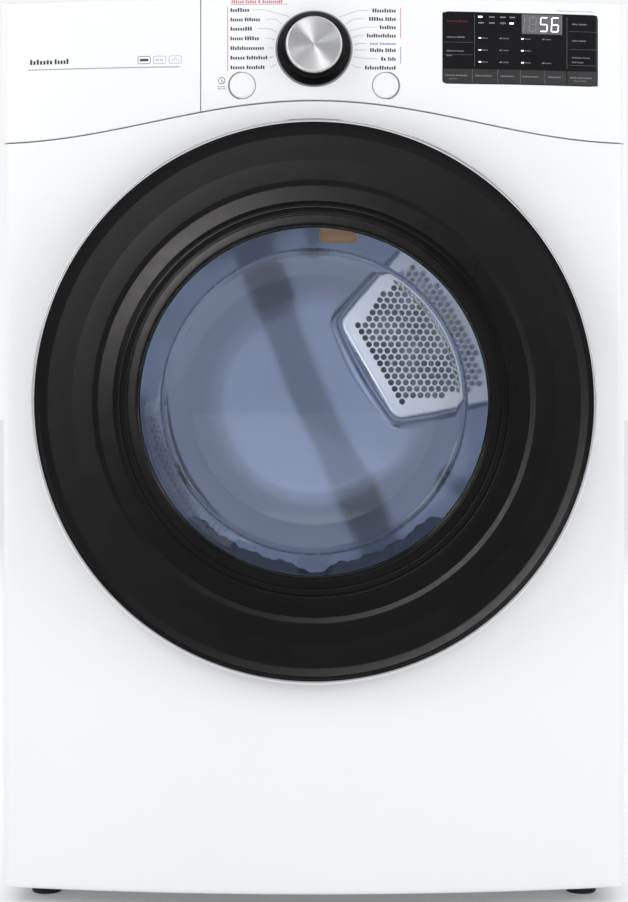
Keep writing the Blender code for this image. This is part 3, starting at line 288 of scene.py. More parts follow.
LED_WHITE = lit("led_white", (0.95, 0.97, 1.0), 1.6)
LED_DIM = lit("led_dim", (0.20, 0.205, 0.215), 0.12)
LED_RED = lit("led_red", (0.10, 0.006, 0.008), 0.35)
LED_OFF = lit("led_unlit", (0.12, 0.12, 0.125), 0.05)
AMBER = lit("lamp_amber", (0.42, 0.20, 0.03), 0.36)
SMOKE = finish(
    "smoked_lens", (0.006, 0.006, 0.007), 0.2, tone=0.3, blotch=20, rough_spread=0.03,
    grain=((300, 0.00001),), Specular_IOR_Level=0.22,
)
KEY_STRIP = finish("key_strip", (0.022, 0.022, 0.023), 0.35, tone=0.1, blotch=60)

SLOT_FINISH = {
    "white_enamel": WHITE, "white_plastic": WHITE_PLASTIC, "black_gloss": BLACK_GLOSS,
    "dark_plastic": DARK, "grey_plastic": GREY, "chrome": CHROME, "spun_aluminium": SPUN,
    "zinc_steel": ZINC, "drum_steel": DRUM_STEEL, "door_glass": GLASS, "rubber": RUBBER,
    "felt": FELT, "circuit_board": BOARD, "motor_paint": PAINT,
}


# ---- mesh building ----
def piece(name, skin, material, body="root", slot=None, replaces=(), angle=32, origin=(0, 0, 0)):
    """A named mesh that rides on a body. The skin's points are in the row frame."""
    mesh = bpy.data.meshes.new(name)
    mesh.from_pydata([tuple(Vector(p) - Vector(origin)) for p in skin.points], [], skin.faces)
    shape = bmesh.new()
    shape.from_mesh(mesh)
    bmesh.ops.remove_doubles(shape, verts=shape.verts, dist=2e-6)
    bmesh.ops.dissolve_degenerate(shape, edges=shape.edges, dist=1e-7)
    bmesh.ops.recalc_face_normals(shape, faces=shape.faces)
    shape.to_mesh(mesh)
    shape.free()
    mesh.materials.append(material)
    mesh.shade_smooth()
    mesh.set_sharp_from_angle(angle=math.radians(angle))
    obj = bpy.data.objects.new(name, mesh)
    obj.location = origin
    bpy.context.scene.collection.objects.link(obj)
    bpy.context.view_layer.update()
    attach(obj, body)
    if replaces:
        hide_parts(*replaces)
    return obj


class Skin:
    """Rows of points, and the faces between them."""

    def __init__(self):
        self.points = []
        self.faces = []

    def row(self, points):
        start = len(self.points)
        self.points += [tuple(p) for p in points]
        return list(range(start, len(self.points)))

    def bridge(self, first, second, closed=False):
        count = len(first)
        for i in range(count if closed else count - 1):
            j = (i + 1) % count
            self.faces.append((first[i], first[j], second[j], second[i]))

    def rows(self, all_rows, closed=False):
        made = [self.row(points) for points in all_rows]
        for first, second in zip(made, made[1:]):
            self.bridge(first, second, closed)
        return made

    def solid(self, all_rows, first_cap=False, closed=True):
        """The rows with their last end closed, and their first one too if asked."""
        made = self.rows(all_rows, closed)
        if first_cap:
            self.faces.append(tuple(made[0]))
        self.faces.append(tuple(made[-1]))

    def box(self, low, high):
        x0, y0, z0 = low
        x1, y1, z1 = high
        start = len(self.points)
        self.points += [(x, y, z) for x in (x0, x1) for y in (y0, y1) for z in (z0, z1)]
        for face in ((0, 1, 3, 2), (4, 6, 7, 5), (0, 4, 5, 1), (2, 3, 7, 6), (0, 2, 6, 4), (1, 5, 7, 3)):
            self.faces.append(tuple(start + i for i in face))


def filleted(points, closed=True, steps=5):
    """Corners given as (a, b, radius), each rounded where its radius isn't 0."""
    made = []
    count = len(points)
    for i, (a, b, radius) in enumerate(points):
        here = Vector((a, b))
        if radius <= 0 or (not closed and i in (0, count - 1)):
            made.append((a, b))
            continue
        before = Vector(points[i - 1][:2]) - here
        after = Vector(points[(i + 1) % count][:2]) - here
        bend = before.angle(after, math.pi)
        reach = min(radius / max(math.tan(bend / 2), 1e-3), before.length * 0.49, after.length * 0.49)
        start = here + before.normalized() * reach
        end = here + after.normalized() * reach
        for k in range(steps + 1):
            t = k / steps
            made.append(tuple(start * (1 - t) ** 2 + here * 2 * t * (1 - t) + end * t**2))
    return made


def spin(profile, centre, axis, steps):
    """Rows of points for a profile of (radius, place along the axis), turned about an axis along Y or Z."""
    rows = []
    for radius, along in profile:
        row = []
        for k in range(steps):
            c, s = math.cos(TAU * k / steps), math.sin(TAU * k / steps)
            if axis == "Y":
                row.append((centre[0] + radius * c, along, centre[2] + radius * s))
            else:
                row.append((centre[0] + radius * c, centre[1] + radius * s, along))
        rows.append(row)
    return rows


def lathe(name, profile, centre, material, body="root", axis="Y", steps=192, closed=True, **more):
    """A turned piece. The profile holds (radius, place along the axis, fillet)."""
    skin = Skin()
    outline = filleted([(*p, 0)[:3] for p in profile], closed)
    made = skin.rows(spin(outline, centre, axis, steps), True)
    if closed:
        skin.bridge(made[-1], made[0], True)
    return piece(name, skin, material, body, **more)


def circle(x, z, radius, count):
    """Points round a circle in the XZ plane."""
    return [(x + radius * math.cos(TAU * k / count), z + radius * math.sin(TAU * k / count))
            for k in range(count)]


def carve(obj, skin):
    """Cuts a closed shape out of a piece."""
    mesh = bpy.data.meshes.new("cutter")
    mesh.from_pydata(skin.points, [], skin.faces)
    shape = bmesh.new()
    shape.from_mesh(mesh)
    bmesh.ops.recalc_face_normals(shape, faces=shape.faces)
    shape.to_mesh(mesh)
    shape.free()
    cutter = bpy.data.objects.new("cutter", mesh)
    bpy.context.scene.collection.objects.link(cutter)
    modifier = obj.modifiers.new("cut", "BOOLEAN")
    modifier.operation = "DIFFERENCE"
    modifier.solver = "EXACT"
    modifier.object = cutter
    graph = bpy.context.evaluated_depsgraph_get()
    graph.update()
    result = bpy.data.meshes.new_from_object(obj.evaluated_get(graph))
    obj.modifiers.remove(modifier)
    old = obj.data
    obj.data = result
    bpy.data.meshes.remove(old)
    bpy.data.objects.remove(cutter, do_unlink=True)


def spaced(first, last, step):
    """Evenly spaced numbers from first to last, about a step apart."""
    count = max(1, round(abs(last - first) / step))
    return [first + (last - first) * k / count for k in range(count + 1)]


def front_y(x):
    return CREST_Y + BOW_RADIUS - math.sqrt(BOW_RADIUS**2 - x**2)


def front_point(along, z, depth=0.0):
    """A point on the bowed front: along it from the middle, its height, and how far inside the skin."""
    side = -1 if along < 0 else 1
    reach = abs(along)
    if reach <= BEND_START:
        turn = math.asin(reach / BOW_RADIUS)
        x, y = reach, front_y(reach)
    elif reach <= BEND_END:
        turn = BEND_TURN + (reach - BEND_START) / EDGE_RADIUS
        x, y = CORNER_X + EDGE_RADIUS * math.sin(turn), CORNER_Y - EDGE_RADIUS * math.cos(turn)
    else:
        turn = math.pi / 2
        x, y = HALF, CORNER_Y + reach - BEND_END
    return (side * (x - depth * math.sin(turn)), y + depth * math.cos(turn), z)


def seam_z(along):
    x = min(HALF, abs(front_point(along, 0)[0]))
    return SEAM_SIDE_Z + SEAM_RISE * (1 + math.cos(math.pi * x / HALF)) / 2


def ray_hit(loop, centre, direction):
    """How far from the centre the closed line is, that way."""
    best = None
    for a, b in zip(loop, loop[1:] + loop[:1]):
        ax, az, bx, bz = a[0] - centre[0], a[1] - centre[1], b[0] - centre[0], b[1] - centre[1]
        ex, ez = bx - ax, bz - az
        cross = direction[0] * ez - direction[1] * ex
        if abs(cross) < 1e-12:
            continue
        reach = (ax * ez - az * ex) / cross
        share = (ax * direction[1] - az * direction[0]) / cross
        if reach > 0 and -1e-6 <= share <= 1 + 1e-6:
            best = reach if best is None else max(best, reach)
    return best


# ---- front panel ----
def patch(skin, outline, centre, hole, rings=9):
    """Joins a closed outline on the front to a hole, which gives its points for a direction and a growth.

    Returns the directions, in the outline's order.
    """
    directions = []
    for along, z in outline:
        away = Vector((along - centre[0], z - centre[1])).normalized()
        directions.append((away.x, away.y))
    rows = []
    for k in range(rings + 1):
        share = (k / rings) ** 1.3
        row = []
        for (along, z), direction in zip(outline, directions):
            a, b = hole(direction, 0.0)
            row.append(front_point(a + (along - a) * share, b + (z - b) * share))
        rows.append(row)
    skin.rows(rows, True)
    return directions


def lip(skin, directions, hole, radius, depth):
    """The rounded edge of a hole and its wall."""
    rows = []
    for k in range(6):
        turn = math.pi / 2 * k / 5
        rows.append(
            [front_point(*hole(d, -radius * math.sin(turn)), radius * (1 - math.cos(turn)))
             for d in directions],
        )
    rows.append([front_point(*hole(d, -radius), depth) for d in directions])
    skin.rows(rows, True)


def round_hole(centre, radius):
    return lambda d, grow: (centre[0] + (radius + grow) * d[0], centre[1] + (radius + grow) * d[1])


def loop_hole(loop, centre):
    """A hole of any star shape about its centre."""
    def at(direction, grow):
        reach = ray_hit(loop, centre, direction) + grow
        return centre[0] + reach * direction[0], centre[1] + reach * direction[1]
    return at


def rounded_rectangle(low, high, radius, steps=6):
    points = []
    for cx, cz, start in (
        (high[0] - radius, high[1] - radius, 0), (low[0] + radius, high[1] - radius, 90),
        (low[0] + radius, low[1] + radius, 180), (high[0] - radius, low[1] + radius, 270),
    ):
        for k in range(steps + 1):
            turn = math.radians(start + 90 * k / steps)
            points.append((cx + radius * math.cos(turn), cz + radius * math.sin(turn)))
    return points


def edge_rows(columns, edge, inward, radius, depth):
    """Rows that roll over a horizontal edge of the front, from the face round to a wall going inward."""
    rows = []
    for k in range(6):
        turn = math.pi / 2 * k / 5
        offset = radius * (1 - math.sin(turn)) * inward
        rows.append([front_point(s, edge(s) + offset, radius * (1 - math.cos(turn))) for s in columns])
    rows.append([front_point(s, edge(s), depth) for s in columns])
    return rows


def front_skin():
    bottom_roll, seam_roll = 0.006, 0.0009
    bottom = lambda s: FOOT_HEIGHT
    seam = lambda s: seam_z(s) - SEAM_HALF_GAP
    face_low = FOOT_HEIGHT + bottom_roll
    middle = spaced(-BEND_START, BEND_START, 0.007)
    heights = spaced(0, 1, 1 / 90)
    wrap = spaced(BEND_START, BEND_END, 0.0016) + [WRAP_END - 0.0015]
    skin = Skin()
    face_top = lambda s: seam(s) - seam_roll
    outline = [(s, face_low) for s in middle[:-1]]
    outline += [(BEND_START, face_low + (face_top(BEND_START) - face_low) * t) for t in heights[:-1]]
    outline += [(s, face_top(s)) for s in middle[:0:-1]]
    outline += [(-BEND_START, face_low + (face_top(BEND_START) - face_low) * t) for t in heights[:0:-1]]
    hole = round_hole((0, DOOR_Z), SEAT_RADIUS + 0.002)
    directions = patch(skin, outline, (0, DOOR_Z), hole, 16)
    lip(skin, directions, hole, 0.002, 0.004)
    for side in (-1, 1):
        skin.rows([
            [front_point(side * s, face_low + (face_top(s) - face_low) * t) for t in heights] for s in wrap
        ])
        edge = [
            front_point(side * (WRAP_END - 0.0015 + 0.0012 * math.sin(a)), 0, 0.0012 * (1 - math.cos(a)))
            for a in (0, 0.5, 1.0, math.pi / 2)
        ]
        rolled = [[(x, y, face_low + (face_top(WRAP_END) - face_low) * t) for t in heights] for x, y,
                  _ in edge]
        skin.rows(rolled)
    columns = [-s for s in wrap[:0:-1]] + middle + wrap[1:]
    skin.rows(edge_rows(columns, bottom, 1, bottom_roll, 0.011))
    skin.rows(edge_rows(columns, seam, -1, seam_roll, 0.008))
    piece("front_panel_skin", skin, WHITE, slot="white_enamel", replaces=["front_panel"])


def door_seat():
    """The recess that the door closes on, and the mouth of the drum."""
    wall = SEAT_RADIUS
    profile = [
        (wall + 0.004, front_y(SEAT_RADIUS) + 0.0045, 0), (wall, front_y(SEAT_RADIUS) - 0.018, 0),
        (wall, SEAT_Y, 0.0025), (MOUTH_RADIUS, SEAT_Y, 0.003), (MOUTH_RADIUS, SIDE_Y - 0.001, 0.001),
        (MOUTH_RADIUS + 0.0015, SIDE_Y - 0.001, 0), (MOUTH_RADIUS + 0.0015, SEAT_Y + 0.0015, 0.001),
        (wall + 0.0015, SEAT_Y + 0.0015, 0.001), (wall + 0.0015, front_y(SEAT_RADIUS) + 0.0045, 0),
    ]
    seat = lathe("door_seat", profile, (0, 0, DOOR_Z), WHITE, steps=224, slot="white_enamel")
    slot = Skin()
    x = -0.252
    slot.box((x - 0.005, SEAT_Y - 0.004, DOOR_Z - 0.016), (x + 0.0055, SEAT_Y + 0.006, DOOR_Z + 0.016))
    carve(seat, slot)


# ---- control panel ----
FASCIA_ROLL = 0.0035
FASCIA_FOOT = SEAM_HALF_GAP + 0.0009
FACE_SHARES = spaced(0, 1, 1 / 24)
BUTTON_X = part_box("power_button")[0].x + 0.014
BUTTON_Z = (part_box("power_button")[0].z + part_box("power_button")[1].z) / 2
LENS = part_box("display_panel")


def fascia_face(skin, first, last, holes=()):
    """The face of the fascia between two verticals, with holes as (first, last, centre, shape)."""
    low = lambda s: seam_z(s) + SEAM_HALF_GAP + 0.0009
    high = TOP - FASCIA_ROLL
    shares = spaced(0, 1, 1 / 24)

    def plain(a, b):
        if b - a > 1e-5:
            skin.rows([[front_point(s, low(s) + (high - low(s)) * t) for t in shares]
                       for s in spaced(a, b, 0.006)])

    place = first
    for a, b, centre, hole, radius, depth in holes:
        plain(place, a)
        across = spaced(a, b, 0.004)
        outline = [(s, low(s)) for s in across[:-1]]
        outline += [(b, low(b) + (high - low(b)) * t) for t in shares[:-1]]
        outline += [(s, high) for s in across[:0:-1]]
        outline += [(a, low(a) + (high - low(a)) * t) for t in shares[:0:-1]]
        lip(skin, patch(skin, outline, centre, hole), hole, radius, depth)
        place = b
    plain(place, last)


def fascia_edges(skin, columns):
    """The roll along the seam, and the roll and flat top of the fascia."""
    skin.rows(edge_rows(columns, lambda s: seam_z(s) + SEAM_HALF_GAP, 1, 0.0009, 0.008))
    top = edge_rows(columns, lambda s: TOP, -1, FASCIA_ROLL, FASCIA_ROLL + 0.0001)[:-1]
    back = [(x, SIDE_Y - 0.0004, TOP) for x, _, _ in top[-1]]
    drop = [(x, SIDE_Y - 0.0004, TOP - 0.004) for x, _, _ in top[-1]]
    skin.rows(top + [back, drop])


def wrap_columns(side):
    return [side * s for s in spaced(BEND_START, BEND_END, 0.0016) + [WRAP_END - 0.0004]]


def fascia_height(s, share):
    """A height on the fascia's face, as a share of the way up it."""
    low = seam_z(s) + FASCIA_FOOT
    return low + (TOP - FASCIA_ROLL - low) * share


def fascia_wrap(skin, side):
    """The fascia's face round one front corner."""
    skin.rows([[front_point(s, fascia_height(s, t)) for t in FACE_SHARES] for s in wrap_columns(side)])


def seam_wall(skin, place, inward):
    """The small roll and wall of a vertical seam in the fascia; inward is 1 if the face is to its right."""
    rows = []
    for k in range(5):
        turn = math.pi / 2 * k / 4
        s = place + inward * 0.0006 * (1 - math.sin(turn))
        rows.append([front_point(s, fascia_height(s, t), 0.0006 * (1 - math.cos(turn)))
                     for t in FACE_SHARES])
    rows.append([front_point(place, fascia_height(place, t), 0.006) for t in FACE_SHARES])
    skin.rows(rows)


def fascias():
    seam = PANEL_SEAM_X
    gap = 0.00045
    right = Skin()
    holes = []
    for x in (-BUTTON_X, BUTTON_X):
        holes.append((x - 0.021, x + 0.021, (x, BUTTON_Z), round_hole((x, BUTTON_Z), 0.0152), 0.0006,
                      0.006))
    low, high = (LENS[0].x, LENS[0].z), (LENS[1].x, LENS[1].z)
    loop = rounded_rectangle((low[0] - 0.0003, low[1] - 0.0003), (high[0] + 0.0003, high[1] + 0.0003),
                             0.0015)
    centre = ((low[0] + high[0]) / 2, (low[1] + high[1]) / 2)
    holes.append((low[0] - 0.008, high[0] + 0.008, centre, loop_hole(loop, centre), 0.0004, 0.003))
    fascia_face(right, seam + gap + 0.0006, BEND_START, sorted(holes, key=lambda hole: hole[0]))
    fascia_wrap(right, 1)
    seam_wall(right, seam + gap, 1)
    fascia_edges(right, spaced(seam + gap, BEND_START, 0.005) + wrap_columns(1)[1:])
    piece("fascia_right_skin", right, WHITE_PLASTIC, slot="white_plastic", replaces=["control_fascia"])
    left = Skin()
    fascia_face(left, -BEND_START, seam - gap - 0.0006)
    fascia_wrap(left, -1)
    seam_wall(left, seam - gap, -1)
    fascia_edges(left, wrap_columns(-1)[:0:-1] + spaced(-BEND_START, seam - gap, 0.005))
    piece("fascia_left_skin", left, WHITE_PLASTIC, slot="white_plastic", replaces=["fascia_left_panel"])


INK_LIFT = -0.00008


def bar(skin, x0, x1, z0, z1, lift=INK_LIFT):
    """A printed bar that follows the bow."""
    columns = spaced(x0, x1, 0.004)
    skin.rows([[front_point(s, z, lift) for s in columns] for z in (z0, z1)])


def line(skin, points, width, lift=INK_LIFT):
    """A printed line through points on the front."""
    for (ax, az), (bx, bz) in zip(points, points[1:]):
        along = Vector((bx - ax, bz - az))
        side = Vector((-along.y, along.x)).normalized() * width / 2
        steps = spaced(0, 1, 0.004 / max(along.length, 0.004))
        skin.rows([
            [front_point(ax + along.x * t + side.x * k, az + along.y * t + side.y * k, lift) for t in steps]
            for k in (-1, 1)
        ])


MARK_HEIGHTS = (0.72, 0.72, 1.0, 0.72, 0.72, 0.86, 0.72, 1.0, 0.72)


def words(skin, start, z, widths, height, towards=1, gap=0.0016):
    """A row of word-like bars from start, to the right or to the left."""
    x = start
    pitch = 0.62 * height
    for width in widths:
        low, high = sorted((x, x + towards * width))
        count = max(1, round((high - low) / pitch))
        for k in range(count):
            left = low + (high - low) * k / count
            tall = height * (1.0 if k == 0 else MARK_HEIGHTS[int(left * 1e4) % len(MARK_HEIGHTS)])
            bar(skin, left, left + (high - low) / count * 0.66, z - height / 2, z - height / 2 + tall)
        x += towards * (width + gap)
    return x


LABELS_MIDDLE = 0.934
CALLOUT_RADIUS = 0.0435


def dial_print():
    dark, rose, blue, pale = Skin(), Skin(), Skin(), Skin()
    words_left = ((0.021,), (0.014, 0.017), (0.024,), (0.014, 0.016), (0.037,), (0.016, 0.023),
                  (0.016, 0.020))
    left_z = (0.9764, 0.9661, 0.9560, 0.9456, 0.9351, 0.9247, 0.9143)
    for widths, z in zip(words_left, left_z):
        words(dark, -0.0905, z, widths, 0.0041)
    words(rose, -0.0895, 0.9853, (0.014, 0.012, 0.003, 0.022), 0.0036)
    line(rose, [(-0.0905, 0.9825), (-0.029, 0.9825)], 0.0006)
    line(rose, [(-0.0935, 0.9800), (-0.0935, 0.9105)], 0.0008)
    words_right = ((0.026,), (0.012, 0.016), (0.018,), (0.032,), (0.018, 0.009), (0.012, 0.015),
                   (0.009, 0.006), (0.034,))
    right_z = (0.9757, 0.9666, 0.9577, 0.9486, 0.9398, 0.9328, 0.9234, 0.9138)
    for i, (widths, z) in enumerate(zip(words_right, right_z)):
        words(blue if i == 4 else dark, 0.0893, z, widths, 0.0026 if i == 4 else 0.0041, -1)
    line(rose, [(0.0940, 0.9787), (0.0940, 0.9460)], 0.0008)
    line(blue, [(0.0940, 0.9365), (0.0940, 0.9185)], 0.0008)
    for side, edge, heights, lengths in (
        (-1, 0.0905, left_z, (0.021, 0.035, 0.026, 0.034, 0.039, 0.043, 0.040)),
        (1, 0.0893, right_z, (0.026, 0.030, 0.018, 0.032, 0.029, 0.029, 0.017, 0.034)),
    ):
        for z, length in zip(heights, lengths):
            start = edge - length - 0.0035
            rise = LABELS_MIDDLE + (z - LABELS_MIDDLE) * 0.82
            end = math.sqrt(max(CALLOUT_RADIUS**2 - (rise - DIAL_Z) ** 2, 0.018**2))
            turn = max(end + 0.006, start - 0.012)
            line(pale, [(side * start, z), (side * turn, z), (side * end, rise)], 0.00045)
    icon = circle(-0.1000, 0.9000, 0.0035, 20)
    line(dark, icon + icon[:1], 0.0007)
    line(dark, [(-0.1000, 0.9015), (-0.1000, 0.8985), (-0.0975, 0.8985)], 0.0007)
    words(dark, -0.1045, 0.8935, (0.0035, 0.0045), 0.0011, 1, 0.0008)
    words(dark, -0.1045, 0.8912, (0.0050, 0.0030), 0.0011, 1, 0.0008)
    for name, skin, material in (
        ("dial_labels", dark, INK), ("dial_heading", rose, ROSE_INK), ("dial_time_labels", blue, BLUE_INK),
        ("dial_callouts", pale, PALE_INK),
    ):
        piece(name, skin, material)


def left_print():
    dark, pale = Skin(), Skin()
    words(dark, -0.3115, 0.9240, (0.026, 0.0165), 0.0056)
    bar(pale, -0.3140, -0.1460, 0.9150, 0.9162)
    for x in (-0.1915, -0.1745, -0.1575):
        box = rounded_rectangle((x, 0.9195), (x + 0.0135, 0.9275), 0.0015, 3)
        line(dark if x < -0.19 else pale, box + box[:1], 0.0006)
    words(pale, -0.1720, 0.9235, (0.0035, 0.0035), 0.0022, 1, 0.0012)
    line(pale, [(-0.1545, 0.9215), (-0.1508, 0.9255), (-0.1472, 0.9215)], 0.0006)
    bar(dark, -0.1895, -0.1800, 0.9222, 0.9248)
    piece("left_panel_print", dark, INK)
    piece("left_panel_rule", pale, PALE_INK)


SEGMENTS = {"5": "afgcd", "6": "afgedc"}


def seven_segment(skin, digit, x, z, width, height, thick, lift, lean=0.06):
    """One digit of a seven-segment display; x and z are its lower left corner."""
    half = height / 2
    t = thick / 2
    places = {
        "a": ((0, height), (width, height)), "g": ((0, half), (width, half)), "d": ((0, 0), (width, 0)),
        "f": ((0, half), (0, height)), "e": ((0, 0), (0, half)), "b": ((width, half), (width, height)),
        "c": ((width, 0), (width, half)),
    }
    for key in SEGMENTS.get(digit, digit):
        (ax, az), (bx, bz) = places[key]
        along = Vector((bx - ax, bz - az)).normalized()
        side = Vector((-along.y, along.x))
        a = Vector((ax, az)) + along * t * 0.35
        b = Vector((bx, bz)) - along * t * 0.35
        shape = [a, a + along * t + side * t, b - along * t + side * t, b, b - along * t - side * t,
                 a + along * t - side * t]
        row = skin.row([front_point(x + p.x + (p.y) * lean, z + p.y, lift) for p in shape])
        skin.faces.append(tuple(row))


def display():
    """A smoked lens with its readout, indicators and touch keys."""
    skin = Skin()
    low, high = (LENS[0].x + 0.0002, LENS[0].z + 0.0002), (LENS[1].x - 0.0002, LENS[1].z - 0.0002)
    columns = spaced(low[0], high[0], 0.003)
    edge = 0.0006
    rows = []
    for t in spaced(0, 1, 1 / 10):
        rows.append([front_point(s, low[1] + edge + (high[1] - low[1] - 2 * edge) * t)
                     for s in [low[0] + edge] + columns[1:-1] + [high[0] - edge]])
    made = skin.rows(rows)
    border = made[0] + [row[-1] for row in made[1:-1]] + made[-1][::-1] + [row[0] for row in made[-2:0:-1]]
    around = [Vector(skin.points[i]) for i in border]
    outer = []
    for depth, out in ((0.00018, 0.5), (0.0006, 1.0), (0.004, 1.0)):
        row = []
        for p in around:
            x = p.x + edge * out * (1 if p.x > high[0] - 1.5 * edge else -1 if p.x < low[0] + 1.5 * edge
                                    else 0)
            z = p.z + edge * out * (1 if p.z > high[1] - 1.5 * edge else -1 if p.z < low[1] + 1.5 * edge
                                    else 0)
            row.append(front_point(x, z, depth))
        outer.append(row)
    first = border
    for row in outer:
        second = skin.row(row)
        skin.bridge(first, second, True)
        first = second
    skin.faces.append(tuple(first))
    piece("display_lens", skin, SMOKE, slot="black_gloss", replaces=["display_panel"])
    lift = -0.00006
    field, digits, dim, red, strip, rules = Skin(), Skin(), Skin(), Skin(), Skin(), Skin()
    bar(field, 0.2265, 0.2715, 0.9530, 0.9745, lift)
    seven_segment(dim, "abcdefg", 0.2345, 0.9562, 0.0074, 0.0150, 0.0012, 2 * lift)
    seven_segment(dim, "bc", 0.2215, 0.9562, 0.0074, 0.0150, 0.0012, 2 * lift)
    for digit, x in (("5", 0.2468), ("6", 0.2592)):
        seven_segment(digits, digit, x, 0.9562, 0.0076, 0.0150, 0.0011, 2.2 * lift)
    bar(strip, LENS[0].x + 0.001, 0.2762, LENS[0].z + 0.001, 0.9135, lift)
    bar(strip, 0.2772, LENS[1].x - 0.001, LENS[0].z + 0.001, 0.9135, lift)
    for x in (0.1722, 0.2000, 0.2250, 0.2520):
        line(rules, [(x, 0.9135), (x, 0.8985)], 0.0005, 2 * lift)
    for x in (0.1745, 0.2767):
        line(rules, [(x, 0.9725), (x, 0.9165)], 0.0004, 2 * lift)
    for z in (0.9425, 0.9290):
        line(rules, [(0.1415, z), (0.1725, z)], 0.0003, 2 * lift)
    for z in (0.9570, 0.9375, 0.9200):
        line(rules, [(0.2790, z), (0.3100, z)], 0.0003, 2 * lift)
    for x, widths in ((0.1425, (0.011, 0.012)), (0.1755, (0.006, 0.011)), (0.2035, (0.015,)),
                      (0.2275, (0.009, 0.007)),
                      (0.2560, (0.014,)), (0.2805, (0.008, 0.006, 0.008))):
        words(dim, x, 0.9065, widths, 0.0016, 1, 0.0010)
    words(dim, 0.2845, 0.9030, (0.005, 0.008), 0.0010, 1, 0.0010)
    words(dim, 0.1465, 0.9030, (0.009,), 0.0010, 1, 0.0010)
    for z, widths in ((0.9480, (0.010, 0.009)), (0.9330, (0.010, 0.008)), (0.9280, (0.006,))):
        words(dim, 0.1440, z, widths, 0.0014, 1, 0.0010)
    for z, widths in ((0.9650, (0.007, 0.009)), (0.9470, (0.006, 0.009)), (0.9285, (0.011, 0.008)),
                      (0.9235, (0.005, 0.007))):
        words(dim, 0.2825, z, widths, 0.0015, 1, 0.0010)
    words(red, 0.1445, 0.9655, (0.012, 0.010), 0.0022, 1, 0.0010)
    for row, z in enumerate((0.9705, 0.9640)):
        for i, x in enumerate((0.1785, 0.1905, 0.2025, 0.2130)):
            if (row, i) in ((0, 0), (1, 3)):
                bar(digits, x, x + 0.0045, z - 0.0009, z + 0.0009, 2 * lift)
            else:
                bar(dim, x, x + 0.0062, z - 0.0007, z + 0.0007, 2 * lift)
    ring = [(0.2055 + 0.0016 * math.cos(TAU * k / 14), 0.9640 + 0.0016 * math.sin(TAU * k / 14))
            for k in range(15)]
    line(red, ring, 0.0006, 2.4 * lift)
    for z in (0.9475, 0.9345, 0.9215):
        for i, x in enumerate((0.1790, 0.2020, 0.2260, 0.2490)):
            if (i + round(z * 1e4)) % 3 == 0 and i == 3:
                continue
            bar(digits if i % 2 == 0 else dim, x, x + 0.0028, z - 0.0006, z + 0.0006, 2 * lift)
            words(dim, x + 0.0042, z, (0.0062,), 0.0012, 1, 0.001)
    for name, made, material in (
        ("display_field", field, LED_OFF), ("display_digits", digits, LED_WHITE),
        ("display_labels", dim, LED_DIM),
        ("display_red_marks", red, LED_RED), ("display_key_strip", strip, KEY_STRIP),
        ("display_rules", rules, LED_OFF),
    ):
        piece(name, made, material)
    note = Skin()
    words(note, 0.2650, 0.9792, (0.009, 0.012, 0.008, 0.010), 0.0010, 1, 0.0010)
    piece("display_note", note, PALE_INK)


def dial():
    base, cap_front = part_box("dial_skirt")[1].y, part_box("dial_cap")[0].y
    centre = (0, 0, DIAL_Z)
    r = SKIRT_RADIUS
    skirt = [
        (0.004, base, 0), (r - 0.0008, base, 0.0004), (r, base - 0.0012, 0.0008),
        (r - 0.0006, base - 0.0030, 0.001),
        (CAP_RADIUS + 0.0035, base - 0.0100, 0.0012), (CAP_RADIUS + 0.0008, base - 0.0112, 0.0006),
        (CAP_RADIUS + 0.0005, base - 0.0118, 0), (0.004, base - 0.0118, 0),
    ]
    lathe("dial_skirt_turned", skirt, centre, BLACK_GLOSS, "dial", steps=160, slot="black_gloss",
          replaces=["dial_skirt"])
    seat = base - 0.0125
    cap = [
        (0.004, seat, 0), (CAP_RADIUS - 0.0002, seat, 0.0003), (CAP_RADIUS, seat - 0.0012, 0.0003),
        (CAP_RADIUS, cap_front + 0.0030, 0.0006), (CAP_RADIUS - 0.0009, cap_front + 0.0004, 0.0005),
        (CAP_RADIUS - 0.0016, cap_front, 0.0004), (CAP_RADIUS - 0.0023, cap_front + 0.0002, 0.0003),
        (0.010, cap_front + 0.0002, 0), (0.0, cap_front + 0.0002, 0), (0.0, cap_front + 0.006, 0),
        (0.004, cap_front + 0.006, 0),
    ]
    lathe("dial_cap_turned", cap, centre, SPUN, "dial", steps=160, slot="spun_aluminium",
          replaces=["dial_cap"],
          origin=(0, cap_front, DIAL_Z))
    gap_ring = [
        (SKIRT_RADIUS + 0.0006, CREST_Y - 0.0002, 0.0002),
        (SKIRT_RADIUS + 0.0018, CREST_Y + 0.0001, 0.0002),
        (SKIRT_RADIUS + 0.0018, CREST_Y + 0.0008, 0), (0.012, CREST_Y + 0.0008, 0),
        (0.012, CREST_Y - 0.0002, 0),
    ]
    lathe("dial_seat", gap_ring, centre, GREY, steps=128, slot="grey_plastic")


def buttons():
    for node_name, body, x in (("power_button", "power_button", -BUTTON_X),
                               ("start_button", "start_button", BUTTON_X)):
        front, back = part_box(node_name)[0].y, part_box(node_name)[1].y
        r = 0.014
        profile = [
            (0, front + 0.0006, 0), (0.006, front + 0.0005, 0.004), (r - 0.0022, front, 0.001),
            (r, front + 0.0012, 0.0008),
            (r, back, 0), (0, back, 0),
        ]
        lathe(node_name + "_cap", profile, (x, 0, BUTTON_Z), WHITE_PLASTIC, body, steps=96,
              slot="white_plastic", replaces=[node_name])
        bezel = [
            (0.0144, front + 0.0024, 0.0002), (0.0156, front + 0.0020, 0.0003), (0.0158, front + 0.0034, 0),
            (0.0144, front + 0.0060, 0),
        ]
        lathe(node_name + "_bezel", bezel, (x, 0, BUTTON_Z), GREY, "root", steps=96, slot="grey_plastic")


